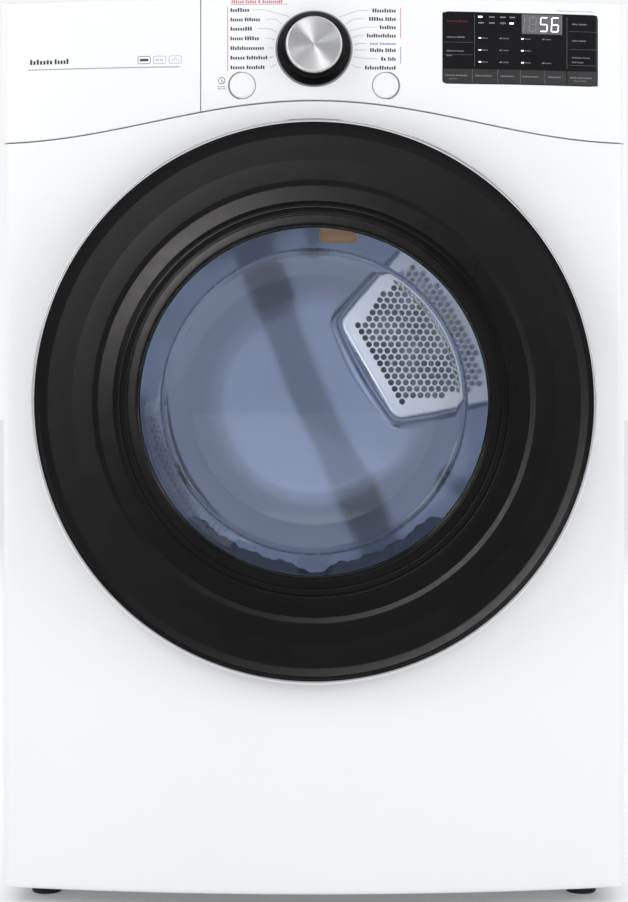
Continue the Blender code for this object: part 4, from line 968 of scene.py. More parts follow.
# ---- door ----
def door():
    centre = (0, 0, DOOR_Z)
    outer = DOOR_RADIUS
    band = outer - 0.0045
    trim = [
        (band, RING_Y + 0.0022, 0), (band + 0.0006, RING_Y + 0.0002, 0.0005),
        (outer - 0.0016, RING_Y, 0.0008),
        (outer - 0.0004, RING_Y + 0.0014, 0.0008), (outer, RING_Y + 0.009, 0.0004),
        (band, RING_Y + 0.009, 0),
    ]
    lathe("door_ring", trim, centre, CHROME, "door", steps=320, slot="chrome", replaces=["door_trim_ring"])
    lip = WINDOW_RADIUS + 0.010
    inside = band - 0.0003
    y = RING_Y
    bezel = [
        (inside, y + 0.0025, 0.0006), (inside - 0.004, y + 0.0048, 0.003),
        (inside - 0.012, y + 0.0072, 0.020),
        (lip + 0.0600, y + 0.0114, 0.040), (lip + 0.0385, y + 0.0142, 0.010),
        (lip + 0.0325, y + 0.0158, 0.006),
        (lip + 0.0165, y + 0.0166, 0.003),
        (lip + 0.0115, y + 0.0150, 0.0016), (lip + 0.0105, y + 0.0158, 0.0004),
        (lip + 0.0092, y + 0.0158, 0.0004),
        (lip + 0.0082, y + 0.0142, 0.0012), (lip + 0.0030, y + 0.0132, 0.0012),
        (lip + 0.0022, y + 0.0140, 0.0003),
        (lip + 0.0012, y + 0.0140, 0.0003), (lip + 0.0004, y + 0.0130, 0.0006),
        (lip - 0.0080, y + 0.0134, 0.0010),
        (lip - 0.0104, y + 0.0150, 0.0006), (lip - 0.0104, y + 0.0158, 0), (lip, y + 0.0158, 0),
        (lip, y + 0.0192, 0),
        (inside - 0.003, y + 0.0192, 0), (outer - 0.0014, y + 0.0195, 0.0006),
        (outer - 0.0006, y + 0.0186, 0.0006),
        (outer - 0.0006, y + 0.0100, 0.0004), (inside, y + 0.0095, 0),
    ]
    lathe("door_dish", bezel, centre, BLACK_GLOSS, "door", steps=320, slot="black_gloss",
          replaces=["door_bezel"])
    front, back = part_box("door_glass")[0].y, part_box("door_glass")[1].y
    thick = 0.004
    rim = WINDOW_RADIUS - 0.003
    floor = BOWL_FLOOR_RADIUS
    bowl = [
        (lip - 0.0006, front + 0.0001, 0), (rim + 0.001, front + 0.0001, 0.006),
        (floor + 0.0015, back - thick - 0.001, 0.012),
        (floor - 0.030, back - thick, 0.008), (0, back - thick - 0.0022, 0), (0, back - 0.0022, 0),
        (floor - 0.030, back, 0.008), (floor + thick + 0.001, back - 0.001, 0.014),
        (rim + thick + 0.001, front + thick, 0.004),
        (lip - 0.0006, front + thick, 0),
    ]
    lathe("door_bowl", bowl, centre, GLASS, "door", steps=256, slot="door_glass", replaces=["door_glass"])
    low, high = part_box("door_liner")
    sleeve = 0.220
    liner = [
        (lip - 0.0005, low.y, 0.0006), (high.x, low.y, 0.0008), (high.x, low.y + 0.0029, 0.001),
        (0.262, low.y + 0.0030, 0.001), (0.260, low.y + 0.0020, 0.001), (0.249, low.y + 0.0020, 0.001),
        (0.247, low.y + 0.0030, 0.001), (sleeve + 0.004, low.y + 0.0030, 0.004),
        (sleeve, high.y - 0.002, 0.0018),
        (sleeve - 0.0012, high.y, 0.0008), (sleeve - 0.0034, high.y, 0.0008),
        (sleeve - 0.0030, low.y + 0.006, 0.003),
        (lip + 0.002, low.y + 0.0032, 0.001), (lip - 0.0005, low.y + 0.0030, 0),
    ]
    lathe("door_inner_liner", liner, centre, GREY, "door", steps=256, slot="grey_plastic",
          replaces=["door_liner"])
    g0, g1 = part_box("door_gasket")
    m = MOUTH_RADIUS
    gasket = [
        (m + 0.0016, g0.y, 0), (m + 0.0084, g0.y, 0), (m + 0.0084, g0.y + 0.0018, 0.0006),
        (m + 0.0070, g0.y + 0.0028, 0.0006),
        (m + 0.0082, g0.y + 0.0044, 0.0008), (m + 0.0066, g1.y, 0.0010), (m + 0.0034, g1.y, 0.0010),
        (m + 0.0018, g0.y + 0.0044, 0.0008), (m + 0.0030, g0.y + 0.0028, 0.0006),
        (m + 0.0016, g0.y + 0.0018, 0.0006),
    ]
    lathe("door_seal", gasket, centre, RUBBER, "door", steps=256, slot="rubber", replaces=["door_gasket"])
    for k in range(10):
        turn = math.radians(18 + 36 * k)
        if abs(math.cos(turn)) > 0.98:
            continue
        screw("liner_screw_%d" % k,
              (0.282 * math.cos(turn), low.y + 0.0030, DOOR_Z + 0.282 * math.sin(turn)), 0.0032, 1, "door")


def screw(name, place, radius, side, body):
    """A domed cross-head screw; side is the way it faces along Y."""
    skin = Skin()
    steps = 24
    x, y, z = place
    profile = ((radius, 0), (radius, 0.15), (radius * 0.9, 0.34), (radius * 0.6, 0.5), (radius * 0.3, 0.56))
    rows = [[(x + r * math.cos(TAU * k / steps), y + side * h * radius, z + r * math.sin(TAU * k / steps))
             for k in range(steps)] for r, h in profile]
    made = skin.rows(rows, True)
    inner = skin.row([(px, y + side * 0.2 * radius, pz) for px, _, pz in rows[-1]])
    skin.bridge(made[-1], inner, True)
    skin.faces.append(tuple(inner))
    for turn in (0, math.pi / 2):
        c, s = math.cos(turn + 0.4), math.sin(turn + 0.4)
        a, b = radius * 0.62, radius * 0.12
        h = y + side * 0.60 * radius
        row = skin.row([(x + c * u - s * v, h, z + s * u + c * v) for u,
                        v in ((-a, -b), (a, -b), (a, b), (-a, b))])
        skin.faces.append(tuple(row))
    return piece(name, skin, ZINC, body, slot="zinc_steel")


# ---- drum and what shows behind the window ----
GRILLE_AXIS = math.radians(30)
VENT_REACH = 0.165
VENT_CENTRE = (VENT_REACH * math.cos(GRILLE_AXIS), VENT_REACH * math.sin(GRILLE_AXIS))
GRILLE_INNER = 0.087
GRILLE_HALF = 0.080
GRILLE_FLARE = math.radians(20)


def fan(inset, corner, outer=0.268):
    """The outline of the air inlet about the drum's centre, with rounded corners."""
    start, half, outer = GRILLE_INNER + inset, GRILLE_HALF - inset, outer - inset
    step = (math.cos(GRILLE_FLARE), math.sin(GRILLE_FLARE))
    along = start * step[0] + half * step[1]
    reach = math.sqrt(along**2 + outer**2 - start**2 - half**2) - along
    turn = math.atan2(half + reach * step[1], start + reach * step[0])
    points = [(start, half, corner), (start, -half, corner)]
    count = 12
    for k in range(count + 1):
        angle = -turn + 2 * turn * k / count
        points.append((outer * math.cos(angle), outer * math.sin(angle),
                       corner * 0.8 if k in (0, count) else 0))
    cos, sin = math.cos(GRILLE_AXIS), math.sin(GRILLE_AXIS)
    return [(a * cos - b * sin, a * sin + b * cos) for a, b in filleted(points, True, 6)]


def grown(loop, centre, amount):
    """The loop moved outwards along the rays from its centre."""
    made = []
    for a, b in loop:
        away = Vector((a - centre[0], b - centre[1]))
        made.append((a + away.x / away.length * amount, b + away.y / away.length * amount))
    return made


def rear_wall():
    """The steel end of the drum's chamber, with a bead pressed round the air inlet."""
    centre = VENT_CENTRE
    loop = fan(0.010, 0.016)
    dense = []
    for a, b in zip(loop, loop[1:] + loop[:1]):
        length = math.hypot(b[0] - a[0], b[1] - a[1])
        count = max(1, round(length / 0.004))
        dense += [(a[0] + (b[0] - a[0]) * k / count, a[1] + (b[1] - a[1]) * k / count)
                  for k in range(count)]
    outer = 0.3055
    skin = Skin()
    rows = []
    y = REAR_WALL_Y
    for amount, lift in ((0, 0.0), (0.0112, 0.0), (0.0128, 0.0008), (0.0146, 0.0022), (0.0166, 0.0026),
                         (0.0188, 0.0022),
                         (0.0210, 0.0008), (0.0226, 0.0)):
        rows.append([(a, y - lift, DOOR_Z + b) for a, b in grown(dense, centre, amount)])
    last = grown(dense, centre, 0.0226)
    edge = []
    for a, b in last:
        d = Vector((a - centre[0], b - centre[1])).normalized()
        dot = centre[0] * d.x + centre[1] * d.y
        reach = -dot + math.sqrt(dot**2 + outer**2 - centre[0] ** 2 - centre[1] ** 2)
        edge.append((centre[0] + d.x * reach, centre[1] + d.y * reach))

    def pressed(a, b):
        r = math.hypot(a, b)
        dome = 0.0016 * max(0.0, 1 - (r / 0.26) ** 2) ** 2
        ring = 0.0011 * math.exp(-(((r - 0.281) / 0.006) ** 2))
        return dome + ring

    for k in range(1, 31):
        t = k / 30
        row = []
        for (a, b), (c, d) in zip(last, edge):
            u, v = a + (c - a) * t, b + (d - b) * t
            row.append((u, y - pressed(u, v) * min(1, t * 4), DOOR_Z + v))
        rows.append(row)
    rows.append([(x, y + 0.0015, z) for x, _, z in rows[-1]])
    skin.rows(rows, True)
    piece("drum_end_wall", skin, REAR_STEEL, slot="drum_steel")


def wall_slot():
    """A small tilted slot in the end wall, at its left, drawn as a dark patch on the wall: painted shade
    where the opening is.
    """
    x, z, lean = -0.1925, 0.665, math.radians(28)
    skin = Skin()
    outline = rounded_rectangle((-0.0024, -0.0062), (0.0024, 0.0062), 0.0023, 5)
    cos, sin = math.cos(lean), math.sin(lean)
    rows = []
    for growth, y in ((1.35, -0.0006), (1.1, -0.0012), (1.0, -0.0010)):
        rows.append([(x + growth * (a * cos + b * sin), REAR_WALL_Y - 0.0012 + y,
                      z + growth * (b * cos - a * sin))
                     for a, b in outline])
    skin.solid(rows)
    # The dark finish here is painted shade: it stands for the dark inside of the slot's opening, not for a
    # dark part.
    piece("end_wall_slot", skin, DARK, slot="dark_plastic")


def filled(name, loops, low, high, material, **more):
    """A flat plate with holes. The loops are (x, z) points and the plate runs from y low to y high."""
    curve = bpy.data.curves.new(name, "CURVE")
    curve.dimensions = "2D"
    curve.fill_mode = "BOTH"
    curve.extrude = (high - low) / 2
    for loop in loops:
        spline = curve.splines.new("POLY")
        spline.points.add(len(loop) - 1)
        for target, point in zip(spline.points, loop):
            target.co = (point[0], point[1], 0, 1)
        spline.use_cyclic_u = True
    guide = bpy.data.objects.new(name + "_guide", curve)
    bpy.context.scene.collection.objects.link(guide)
    graph = bpy.context.evaluated_depsgraph_get()
    graph.update()
    mesh = bpy.data.meshes.new_from_object(guide.evaluated_get(graph))
    bpy.data.objects.remove(guide, do_unlink=True)
    bpy.data.curves.remove(curve)
    mesh.transform(Matrix.Translation((0, (low + high) / 2, 0)) @ Matrix.Rotation(math.pi / 2, 4, "X"))
    skin = Skin()
    skin.points = [tuple(v.co) for v in mesh.vertices]
    skin.faces = [tuple(p.vertices) for p in mesh.polygons]
    bpy.data.meshes.remove(mesh)
    piece(name, skin, material, **more)


def air_inlet():
    """A bright raised pan with close rows of round holes."""
    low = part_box("air_inlet_grille")[0]
    margin = fan(0.0175, 0.010)
    pitch, radius = 0.0104, 0.0044
    outline = [(a, DOOR_Z + b) for a, b in fan(0.0022, 0.020)]
    cutter = Skin()
    centre = VENT_CENTRE
    rng = random.Random(3)
    for row in range(-22, 34):
        for column in range(-30, 40):
            a = (column + 0.5 * (row % 2)) * pitch
            b = row * pitch * math.sqrt(3) / 2
            away = Vector((a - centre[0], b - centre[1]))
            if away.length < 1e-6 or ray_hit(margin, centre, tuple(away.normalized())) < away.length:
                continue
            r = radius * (1 + rng.uniform(-0.02, 0.02))
            ring = [(a + r * math.cos(TAU * k / 14), DOOR_Z + b + r * math.sin(TAU * k / 14))
                    for k in range(14)]
            cutter.solid([[(x, y, z) for x, z in ring] for y in (low.y - 0.001, low.y + 0.003)], True)
    skin = Skin()
    skin.solid([[(x, y, z) for x, z in outline] for y in (low.y + 0.0002, low.y + 0.0012)], True)
    plate = piece("air_inlet_plate", skin, VENT_STEEL, slot="zinc_steel", replaces=["air_inlet_grille"])
    carve(plate, cutter)
    skin = Skin()
    base = fan(0.0022, 0.020)
    rows = []
    for amount, y in ((-0.0045, low.y), (-0.0020, low.y - 0.0004), (0.0004, low.y),
                      (0.0018, low.y + 0.0012), (0.0022, low.y + 0.0030)):
        rows.append([(a, y, DOOR_Z + b) for a, b in grown(base, centre, amount)])
    skin.rows(rows, True)
    piece("air_inlet_rim", skin, VENT_STEEL, slot="zinc_steel")
    backing = Skin()
    ring = [(a, REAR_WALL_Y + 0.0100, DOOR_Z + b) for a, b in fan(0.006, 0.016)]
    backing.faces.append(tuple(backing.row(ring)))
    wall = backing.row([(x, REAR_WALL_Y + 0.0008, z) for x, _, z in ring])
    backing.bridge(list(range(len(ring))), wall, True)
    piece("air_inlet_screen", backing, SCREEN, slot="dark_plastic")


def drum_shell():
    low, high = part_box("drum")
    r = high.x
    inner = r - 0.0015
    front, rear = low.y, high.y
    profile = [(r, front, 0), (r, front + 0.018, 0), (r - 0.0012, front + 0.021, 0.002),
               (r - 0.0012, front + 0.028, 0.002),
               (r, front + 0.031, 0)]
    for y in (-0.100, 0.010, 0.110, 0.210):
        profile += [(r, y - 0.006, 0), (r - 0.0014, y, 0.006), (r, y + 0.006, 0)]
    profile += [(r, rear - 0.018, 0), (r, rear, 0), (inner - 0.0012, rear, 0.0006)]
    for y in (0.210, 0.110, 0.010, -0.100):
        profile += [(inner, y + 0.007, 0.002), (inner - 0.0016, y, 0.006), (inner, y - 0.007, 0.002)]
    profile += [(inner, front + 0.031, 0.002), (inner - 0.0014, front + 0.026, 0.003),
                (inner - 0.0014, front + 0.022, 0.002),
                (inner, front + 0.018, 0.002), (inner, front, 0.0006)]
    lathe("drum_shell", profile, (0, 0, DOOR_Z), DRUM_STEEL, "drum", steps=256, slot="drum_steel",
          replaces=["drum"])


def baffles():
    """Moulded lifters with a soft crest and ends that slope down to the drum."""
    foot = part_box("drum")[1].x - 0.0015 - 0.0006
    low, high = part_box("drum_baffle_1")[0].y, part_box("drum_baffle_1")[1].y
    for i in range(3):
        turn = math.radians(90 + 120 * i)
        cos, sin = math.cos(turn), math.sin(turn)
        skin = Skin()
        rows = []
        stations = [(0.0, 0.04), (0.004, 0.16), (0.014, 0.46), (0.030, 0.78), (0.050, 0.95), (0.075, 1.0)]
        length = high - low
        middle = [(s, 1.0) for s in spaced(0.10, length - 0.10, 0.02)]
        stations = stations + middle + [(length - s, h) for s, h in stations[::-1]]
        for s, height in stations:
            row = []
            for k in range(25):
                t = -1 + 2 * k / 24
                across = 0.0345 * t * (0.82 + 0.18 * height)
                crest = math.exp(-abs(t * 2.1) ** 2.4)
                flute = 0.0012 * math.cos(t * 30) * height * (1 - abs(t)) * (1 if abs(t) > 0.25 else 0)
                r = foot - 0.0012 - (0.052 * height * crest) + flute - 0.001 * (1 - abs(t))
                r = min(r,
                        math.sqrt(foot**2 - across**2) - 0.0004 if abs(t) < 1
                        else math.sqrt(foot**2 - across**2) - 0.0002)
                row.append((r * cos - across * sin, low + s, DOOR_Z + r * sin + across * cos))
            rows.append(row)
        skin.solid(rows, True, False)
        name = "drum_baffle_%d" % (i + 1)
        piece(name + "_moulded", skin, GREY, "drum", slot="grey_plastic", replaces=[name], angle=50)


def bulkhead_ring():
    """The smooth ring round the mouth, seen when the door is open."""
    shelf = -0.240
    m = MOUTH_RADIUS
    profile = [
        (m + 0.0018, SIDE_Y + 0.0005, 0), (m + 0.0018, shelf + 0.0004, 0.002),
        (m + 0.010, shelf - 0.0018, 0.004),
        (m + 0.024, shelf - 0.0018, 0.004), (m + 0.030, shelf + 0.0002, 0.004),
        (SLEEVE_RADIUS - 0.0045, shelf + 0.0002, 0.004),
        (SLEEVE_RADIUS - 0.0045, shelf + 0.0016, 0), (m + 0.0012, shelf + 0.0016, 0.001),
        (m + 0.0004, SIDE_Y + 0.0005, 0),
    ]
    lathe("mouth_ring", profile, (0, 0, DOOR_Z), WHITE, steps=224, slot="white_enamel")


def filter_hood():
    """The dark ribbed guard over the lint filter, round the bottom of the mouth."""
    first, last = math.radians(-139), math.radians(-41)
    rng = random.Random(11)
    skin = Skin()
    rows = []
    inner, outer = 0.1895, 0.2352
    count = 150
    angles = [first + (last - first) * k / count for k in range(count + 1)]

    def inner_at(turn):
        share = (turn - first) / (last - first)
        ends = min(1.0, min(share, 1 - share) / 0.035)
        notch = math.exp(-(((turn + math.pi / 2) / 0.085) ** 2)) * 0.0115
        steps = 0.0013 * math.sin(share * 61) + 0.0009 * math.sin(share * 143 + 1)
        return inner + (1 - ends) * 0.020 + notch + steps * ends

    for share, depth in ((0, 0.0042), (0.0, 0.0012), (0.05, 0.0), (0.5, -0.0004), (0.95, 0.0),
                         (1.0, 0.0012), (1.0, 0.0042)):
        row = []
        for turn in angles:
            r = inner_at(turn) + (outer - inner_at(turn)) * share
            wobble = rng.uniform(-0.0003, 0.0003) if 0 < share < 1 else 0
            row.append((r * math.cos(turn), -0.2405 + depth + wobble, DOOR_Z + r * math.sin(turn)))
        rows.append(row)
    skin.rows(rows)
    piece("lint_filter_guard", skin, FELT_DARK, slot="dark_plastic")


def lamp():
    """The amber diffuser that hangs under the drum lamp."""
    low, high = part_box("drum_lamp")
    centre = Vector(((low.x + high.x) / 2, high.y - 0.010, low.z - 0.0085))
    half = Vector(((high.x - low.x) / 2 - 0.002, 0.0075, 0.0088))
    skin = Skin()
    rows = []
    for i in range(25):
        t = -math.pi / 2 + math.pi * i / 24
        cos, sin = math.cos(t), math.sin(t)
        across = math.copysign(abs(sin) ** 0.5, sin)
        round_off = abs(cos) ** 0.5
        rows.append([(centre.x + half.x * across, centre.y + half.y * round_off * math.cos(TAU * k / 24),
                      centre.z + half.z * round_off * math.sin(TAU * k / 24)) for k in range(24)])
    skin.rows(rows, True)
    piece("drum_lamp_lens", skin, AMBER)


# ---- cabinet ----
def embossed_side(name, side, node_name):
    """A steel side with a wide field pressed in and rolled edges."""
    low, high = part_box(node_name)
    x = side * HALF
    skin = Skin()
    y0, y1, z0, z1 = low.y, high.y, low.z, high.z
    roll = 0.0030
    flat = [((y0 + 0.0, y1 - 0.0), (z0, z1), 0.014),
            ((y0 + 0.0003, y1 - 0.0003), (z0 + 0.0003, z1 - 0.0003), 0.0020),
            ((y0 + roll, y1 - roll), (z0 + roll, z1 - roll), 0.0),
            ((y0 + 0.070, y1 - 0.070), (z0 + 0.085, z1 - 0.075), 0.0),
            ((y0 + 0.074, y1 - 0.074), (z0 + 0.089, z1 - 0.079), 0.0006),
            ((y0 + 0.082, y1 - 0.082), (z0 + 0.097, z1 - 0.087), 0.0034),
            ((y0 + 0.086, y1 - 0.086), (z0 + 0.101, z1 - 0.091), 0.0040),
            ((y0 + 0.150, y1 - 0.150), (z0 + 0.180, z1 - 0.170), 0.0040)]
    rows = []
    for i, ((a, b), (c, d), depth) in enumerate(flat):
        radius = 0.0 if i < 3 else (0.030 if i < 7 else 0.02)
        loop = rounded_rectangle((a, c), (b, d), max(radius, 0.0001), 6)
        row = []
        for p, q in zip(loop, loop[1:] + loop[:1]):
            for k in range(4):
                row.append((x - side * depth, p[0] + (q[0] - p[0]) * k / 4, p[1] + (q[1] - p[1]) * k / 4))
        rows.append(row)
    skin.solid(rows)
    piece(name, skin, WHITE, slot="white_enamel", replaces=[node_name], angle=25)


def lid():
    """The top: rolled edges and a shallow field pressed a little below its border."""
    low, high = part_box("top_panel")
    skin = Skin()
    y0, y1 = low.y, high.y
    rows = []
    for inset, drop in ((0.0, TOP - LID_BOTTOM), (0.0, 0.0050), (0.0004, 0.0026), (0.0016, 0.0009),
                        (0.0040, 0.0), (0.0200, 0.0),
                        (0.0210, 0.0002), (0.0235, 0.0012), (0.0250, 0.0014), (0.0900, 0.0014)):
        radius = max(0.0012, 0.006 if inset < 0.01 else 0.016)
        loop = rounded_rectangle((-HALF + inset, y0 + inset), (HALF - inset, y1 - inset), radius, 6)
        row = []
        for p, q in zip(loop, loop[1:] + loop[:1]):
            for k in range(4):
                row.append((p[0] + (q[0] - p[0]) * k / 4, p[1] + (q[1] - p[1]) * k / 4, TOP - drop))
        rows.append(row)
    skin.solid(rows)
    piece("lid_skin", skin, WHITE, slot="white_enamel", replaces=["top_panel"], angle=28)


def back_panel():
    """The rear sheet: pressed ribs, louvres, the exhaust collar's rim, screws and the terminal cover."""
    low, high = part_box("rear_panel")
    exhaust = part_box("exhaust_duct")
    ex, ez = (exhaust[0].x + exhaust[1].x) / 2, (exhaust[0].z + exhaust[1].z) / 2
    loops = [rounded_rectangle((low.x, low.z), (high.x, high.z), 0.002, 3),
             circle(ex, ez, 0.0520, 64)]
    slots = []
    for column in range(2):
        for row in range(10):
            x = -0.275 + 0.070 * column
            z = 0.300 + 0.026 * row
            slots.append((x, z))
            loops.append(rounded_rectangle((x, z), (x + 0.055, z + 0.008), 0.0038, 5))
    filled("back_sheet", loops, low.y + 0.0001, high.y - 0.0008, ZINC, slot="zinc_steel",
           replaces=["rear_panel"])
    for i, (x, z) in enumerate(slots):
        skin = Skin()
        rows = []
        for k in range(7):
            t = k / 6
            depth = 0.0045 * math.cos(math.pi / 2 * t)
            rows.append([(x + 0.055 * u, high.y - 0.0008 - depth * math.sin(math.pi * u) ** 0.4,
                          z + 0.0085 * t) for u in spaced(0.02, 0.98, 0.06)])
        skin.rows(rows)
        piece("louvre_%02d" % (i + 1), skin, ZINC, slot="zinc_steel")
    rib = Skin()
    for x0, x1, z0, z1 in ((-0.120, 0.250, 0.880, 0.900), (-0.120, 0.250, 0.640, 0.660),
                           (-0.120, 0.250, 0.400, 0.420),
                           (-0.120, 0.250, 0.225, 0.245)):
        rows = []
        for inset, lift in ((0, -0.0012), (0.0020, -0.0004), (0.0050, 0.0), (0.0080, 0.0)):
            loop = rounded_rectangle((x0 + inset, z0 + inset), (x1 - inset, z1 - inset), 0.0098 - inset, 6)
            rows.append([(a, high.y - 0.0001 + lift, b) for a, b in loop])
        rib.solid(rows)
    piece("back_ribs", rib, ZINC, slot="zinc_steel")
    collar = [(0.0520, high.y - 0.0008, 0), (0.0580, high.y - 0.0008, 0), (0.0580, high.y - 0.0001, 0.0004),
              (0.0535, high.y - 0.0001, 0.001), (0.0520, high.y - 0.0003, 0.0002)]
    lathe("exhaust_rim", collar, (ex, 0, ez), ZINC, steps=128, slot="zinc_steel")
    r = exhaust[1].x - ex
    duct = [(r, exhaust[0].y, 0), (r, exhaust[1].y - 0.016, 0), (r - 0.0010, exhaust[1].y - 0.0135, 0.0012),
            (r, exhaust[1].y - 0.011, 0), (r, exhaust[1].y - 0.0002, 0.0003),
            (r - 0.0010, exhaust[1].y, 0.0003),
            (r - 0.0012, exhaust[1].y - 0.011, 0), (r - 0.0012, exhaust[0].y, 0)]
    lathe("exhaust_pipe", duct, (ex, 0, ez), ZINC, steps=128, slot="zinc_steel", replaces=["exhaust_duct"])
    places = [(x, z) for x in (-0.333, 0.333) for z in (0.05, 0.27, 0.49, 0.71, 0.93)]
    places += [(x, z) for x in (-0.20, 0.0, 0.15) for z in (0.030, 0.950)]
    for i, (x, z) in enumerate(places):
        screw("back_screw_%02d" % (i + 1), (x, high.y - 0.0008, z), 0.0042, 1, "root")
    c0, c1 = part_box("terminal_cover")
    cover = Skin()
    rows = []
    for inset, depth in ((0.0, c0.y), (0.0, c1.y - 0.004), (0.0008, c1.y - 0.0018), (0.0024, c1.y - 0.0004),
                         (0.0050, c1.y - 0.0002),
                         (0.0160, c1.y - 0.0002), (0.0175, c1.y - 0.0012), (0.0200, c1.y - 0.0014)):
        loop = rounded_rectangle((c0.x + inset, c0.z + inset), (c1.x - inset, c1.z - inset), 0.005, 5)
        rows.append([(a, depth, b) for a, b in loop])
    cover.solid(rows)
    piece("terminal_box", cover, ZINC, slot="zinc_steel", replaces=["terminal_cover"])
    screw("terminal_screw_low", ((c0.x + c1.x) / 2, c1.y - 0.0035, c0.z + 0.010), 0.0034, 1, "root")
    screw("terminal_screw_high", ((c0.x + c1.x) / 2, c1.y - 0.0035, c1.z - 0.010), 0.0034, 1, "root")


def nut_ring(x, y, radius, z):
    """A ring with six flats, as round a foot's stem."""
    ring = []
    for k in range(48):
        reach = radius * (1 - 0.07 * (0.5 - 0.5 * math.cos(6 * TAU * k / 48)))
        ring.append((x + reach * math.cos(TAU * k / 48), y + reach * math.sin(TAU * k / 48), z))
    return ring


def feet():
    for row in ("front", "rear"):
        for side in ("left", "right"):
            name = f"foot_{row}_{side}"
            low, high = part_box(name)
            x, y = (low.x + high.x) / 2, (low.y + high.y) / 2
            r = high.x - x
            pad = [(0, 0.0010, 0), (r - 0.005, 0.0010, 0), (r - 0.004, 0, 0.0004), (r - 0.0012, 0, 0.0008),
                   (r, 0.0014, 0.0008), (r, 0.0052, 0.0010), (r - 0.0028, 0.0074, 0.0010),
                   (0.0128, 0.0082, 0.0008),
                   (0.0128, 0.0096, 0.0004), (0, 0.0096, 0)]
            lathe(name + "_pad", pad, (x, y, 0), RUBBER, name, "Z", 96, slot="dark_plastic",
                  replaces=[name])
            nut = Skin()
            rows = []
            for inset, z in ((0.0012, 0.0096), (0.0, 0.0106), (0.0, 0.0156), (0.0012, 0.0166)):
                rows.append(nut_ring(x, y, 0.0132 - inset, z))
            nut.solid(rows, True)
            piece(name + "_hub", nut, DARK, name, slot="dark_plastic")
            thread = Skin()
            turns, steps = 22, 24
            rows = []
            for k in range(turns * 2 + 1):
                z = 0.0160 + (high.z - 0.0165) * k / (turns * 2)
                rr = 0.0050 if k % 2 else 0.0043
                rows.append([(x + rr * math.cos(TAU * j / steps), y + rr * math.sin(TAU * j / steps), z)
                             for j in range(steps)])
            thread.solid(rows, True)
            piece(name + "_stem", thread, ZINC, name, slot="zinc_steel")


# ---- the rest of the CAD keeps its shape ----
def paint_nodes():
    for part in frame["record"]["subparts"]:
        obj = NODES[part["node"]]
        material = SLOT_FINISH[part["material_slot"]]
        if part["node"] == "drive_motor":
            material = PAINT
        obj.data.materials.clear()
        obj.data.materials.append(material)


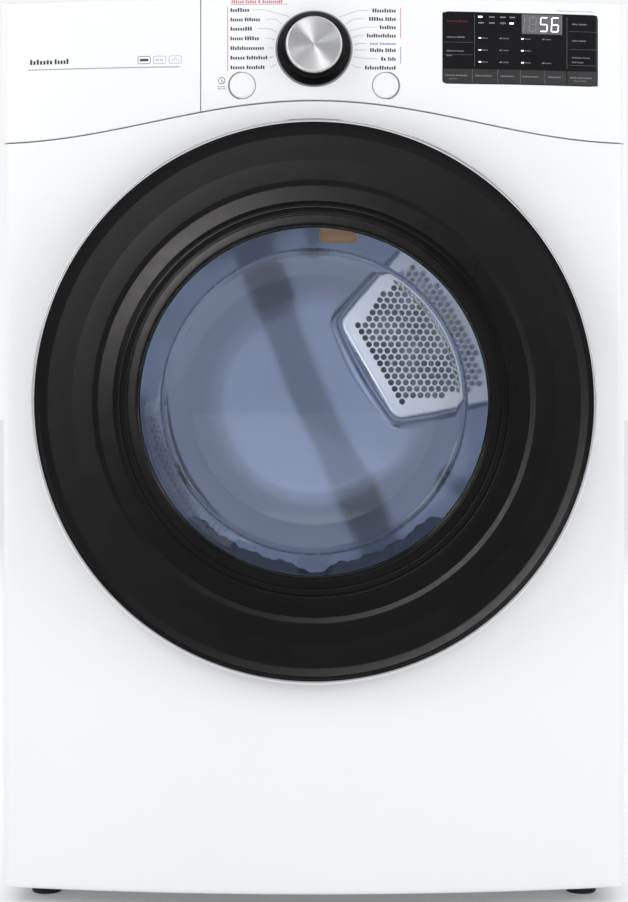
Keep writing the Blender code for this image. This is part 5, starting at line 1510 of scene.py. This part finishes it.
# ---- floor, light and camera ----
def studio():
    floor = bpy.data.meshes.new("floor")
    floor.from_pydata([(-60, -60, 0), (60, -60, 0), (60, 60, 0), (-60, 60, 0)], [], [(0, 1, 2, 3)])
    ground = bpy.data.objects.new("floor", floor)
    pale = finish("floor_pale", (0.90, 0.90, 0.905), 0.6, tone=0.01, blotch=2.0, rough_spread=0.03,
                  Emission_Color=(1, 1, 1, 1), Emission_Strength=0.14)
    floor.materials.append(pale)
    bpy.context.scene.collection.objects.link(ground)
    world = bpy.data.worlds.new("studio")
    bpy.context.scene.world = world
    world.use_nodes = True
    tree = world.node_tree
    background = tree.nodes["Background"]
    background.inputs["Strength"].default_value = 1.0
    place = node(tree, "ShaderNodeTexCoord").outputs["Generated"]
    parts = node(tree, "ShaderNodeSeparateXYZ")
    tree.links.new(place, parts.inputs[0])
    share = spread(tree, parts.outputs["Y"], 0, 1, -0.4, 0.6)
    tree.links.new(mixed(tree, share, (0.46, 0.465, 0.475), (0.93, 0.94, 0.95)), background.inputs["Color"])
    bpy.context.scene.view_settings.view_transform = "Standard"

    def panel(name, place, target, width, height, power, roll=0.0, color=(1, 1, 1), shown=True):
        light = bpy.data.lights.new(name, "AREA")
        light.shape = "RECTANGLE"
        light.size, light.size_y = width, height
        light.energy = power
        light.color = color
        lamp_object = bpy.data.objects.new(name, light)
        lamp_object.location = place
        aim = (Vector(target) - Vector(place)).to_track_quat("-Z", "Y").to_matrix().to_4x4()
        lamp_object.matrix_world = Matrix.Translation(place) @ aim @ Matrix.Rotation(roll, 4, "Z")
        bpy.context.scene.collection.objects.link(lamp_object)
        lamp_object.visible_camera = False
        lamp_object.visible_transmission = False
        if not shown:
            lamp_object.visible_glossy = False
        return lamp_object

    panel("key_left", (-2.6, -2.6, 2.3), (0, -0.3, 0.55), 1.8, 2.2, 36)
    panel("fill_right", (2.9, -2.4, 1.7), (0, -0.3, 0.5), 1.6, 2.2, 27)
    panel("top_soft", (0, -0.6, 3.4), (0, 0, 0.6), 2.6, 2.2, 5)
    panel("front_fill", (0, -5.5, 1.6), (0, 0, 0.5), 3.0, 2.2, 44, shown=False)
    panel("behind_left", (-2.4, 3.2, 2.4), (0, 0, 0.5), 1.6, 1.6, 16)
    panel("behind_right", (2.4, 3.2, 2.0), (0, 0, 0.5), 1.6, 1.6, 26)
    lean = math.radians(23)
    for name, shift in (("drum_light_left", -1), ("drum_light_right", 1)):
        offset = Vector((math.cos(lean), 0, math.sin(lean))) * shift * 0.160
        place = Vector((0.007, -0.200, DOOR_Z)) + offset
        panel(name, tuple(place), (place.x, 1.0, place.z), 0.245, 0.60, 0.25, lean, (0.90, 0.94, 1.0))
    dish_only = bpy.data.collections.new("dish_only")
    dish_only.objects.link(bpy.data.objects["door_dish"])
    front = RING_Y - 1.0
    glows = [
        panel("dish_glow", (-0.200, front, DOOR_Z + 0.200), (-0.17, 0, DOOR_Z + 0.17), 0.20, 0.26, 4.4,
              math.radians(45), (1.0, 0.95, 0.96)),
        panel("dish_crescent", (0.0, front, DOOR_Z + 0.41), (0, 0, DOOR_Z - 0.20), 0.40, 0.12, 3.0),
    ]
    for glow in glows:
        glow.light_linking.receiver_collection = dish_only
    dial_only = bpy.data.collections.new("dial_only")
    dial_only.objects.link(bpy.data.objects["dial_cap_turned"])
    for name, turn, width, power in (("dial_sweep", 42, 0.6, 16.0), ("dial_glint", 105, 0.22, 2.6)):
        turn = math.radians(turn)
        place = (1.5 * math.cos(turn), -2.6, DIAL_Z + 1.5 * math.sin(turn))
        sweep = panel(name, place, (0, -0.35, DIAL_Z), width, 1.2, power, turn - math.pi / 2)
        sweep.light_linking.receiver_collection = dial_only
    vent_only = bpy.data.collections.new("vent_only")
    for name in ("air_inlet_plate", "air_inlet_rim", "air_inlet_screen"):
        vent_only.objects.link(bpy.data.objects[name])
    vent = (VENT_CENTRE[0], REAR_WALL_Y, DOOR_Z + VENT_CENTRE[1])
    wash = panel("vent_wash", (-0.08, 0.02, DOOR_Z - 0.02), vent, 0.10, 0.10, 0.7, color=(0.92, 0.95, 1.0))
    wash.light_linking.receiver_collection = vent_only
    camera = bpy.data.cameras.new("camera")
    camera.lens = 79.8
    camera.sensor_width = 36
    camera.shift_y = -0.0548
    camera.clip_start, camera.clip_end = 0.05, 60
    camera_object = bpy.data.objects.new("camera", camera)
    camera_object.location = (0, -2.519, DOOR_Z)
    camera_object.rotation_euler = (math.pi / 2, 0, 0)
    bpy.context.scene.collection.objects.link(camera_object)
    bpy.context.scene.camera = camera_object


paint_nodes()
front_skin()
door_seat()
fascias()
dial_print()
left_print()
display()
dial()
buttons()
door()
rear_wall()
wall_slot()
air_inlet()
drum_shell()
baffles()
bulkhead_ring()
filter_hood()
lamp()
embossed_side("side_left_skin", -1, "side_panel_left")
embossed_side("side_right_skin", 1, "side_panel_right")
lid()
back_panel()
feet()
studio()
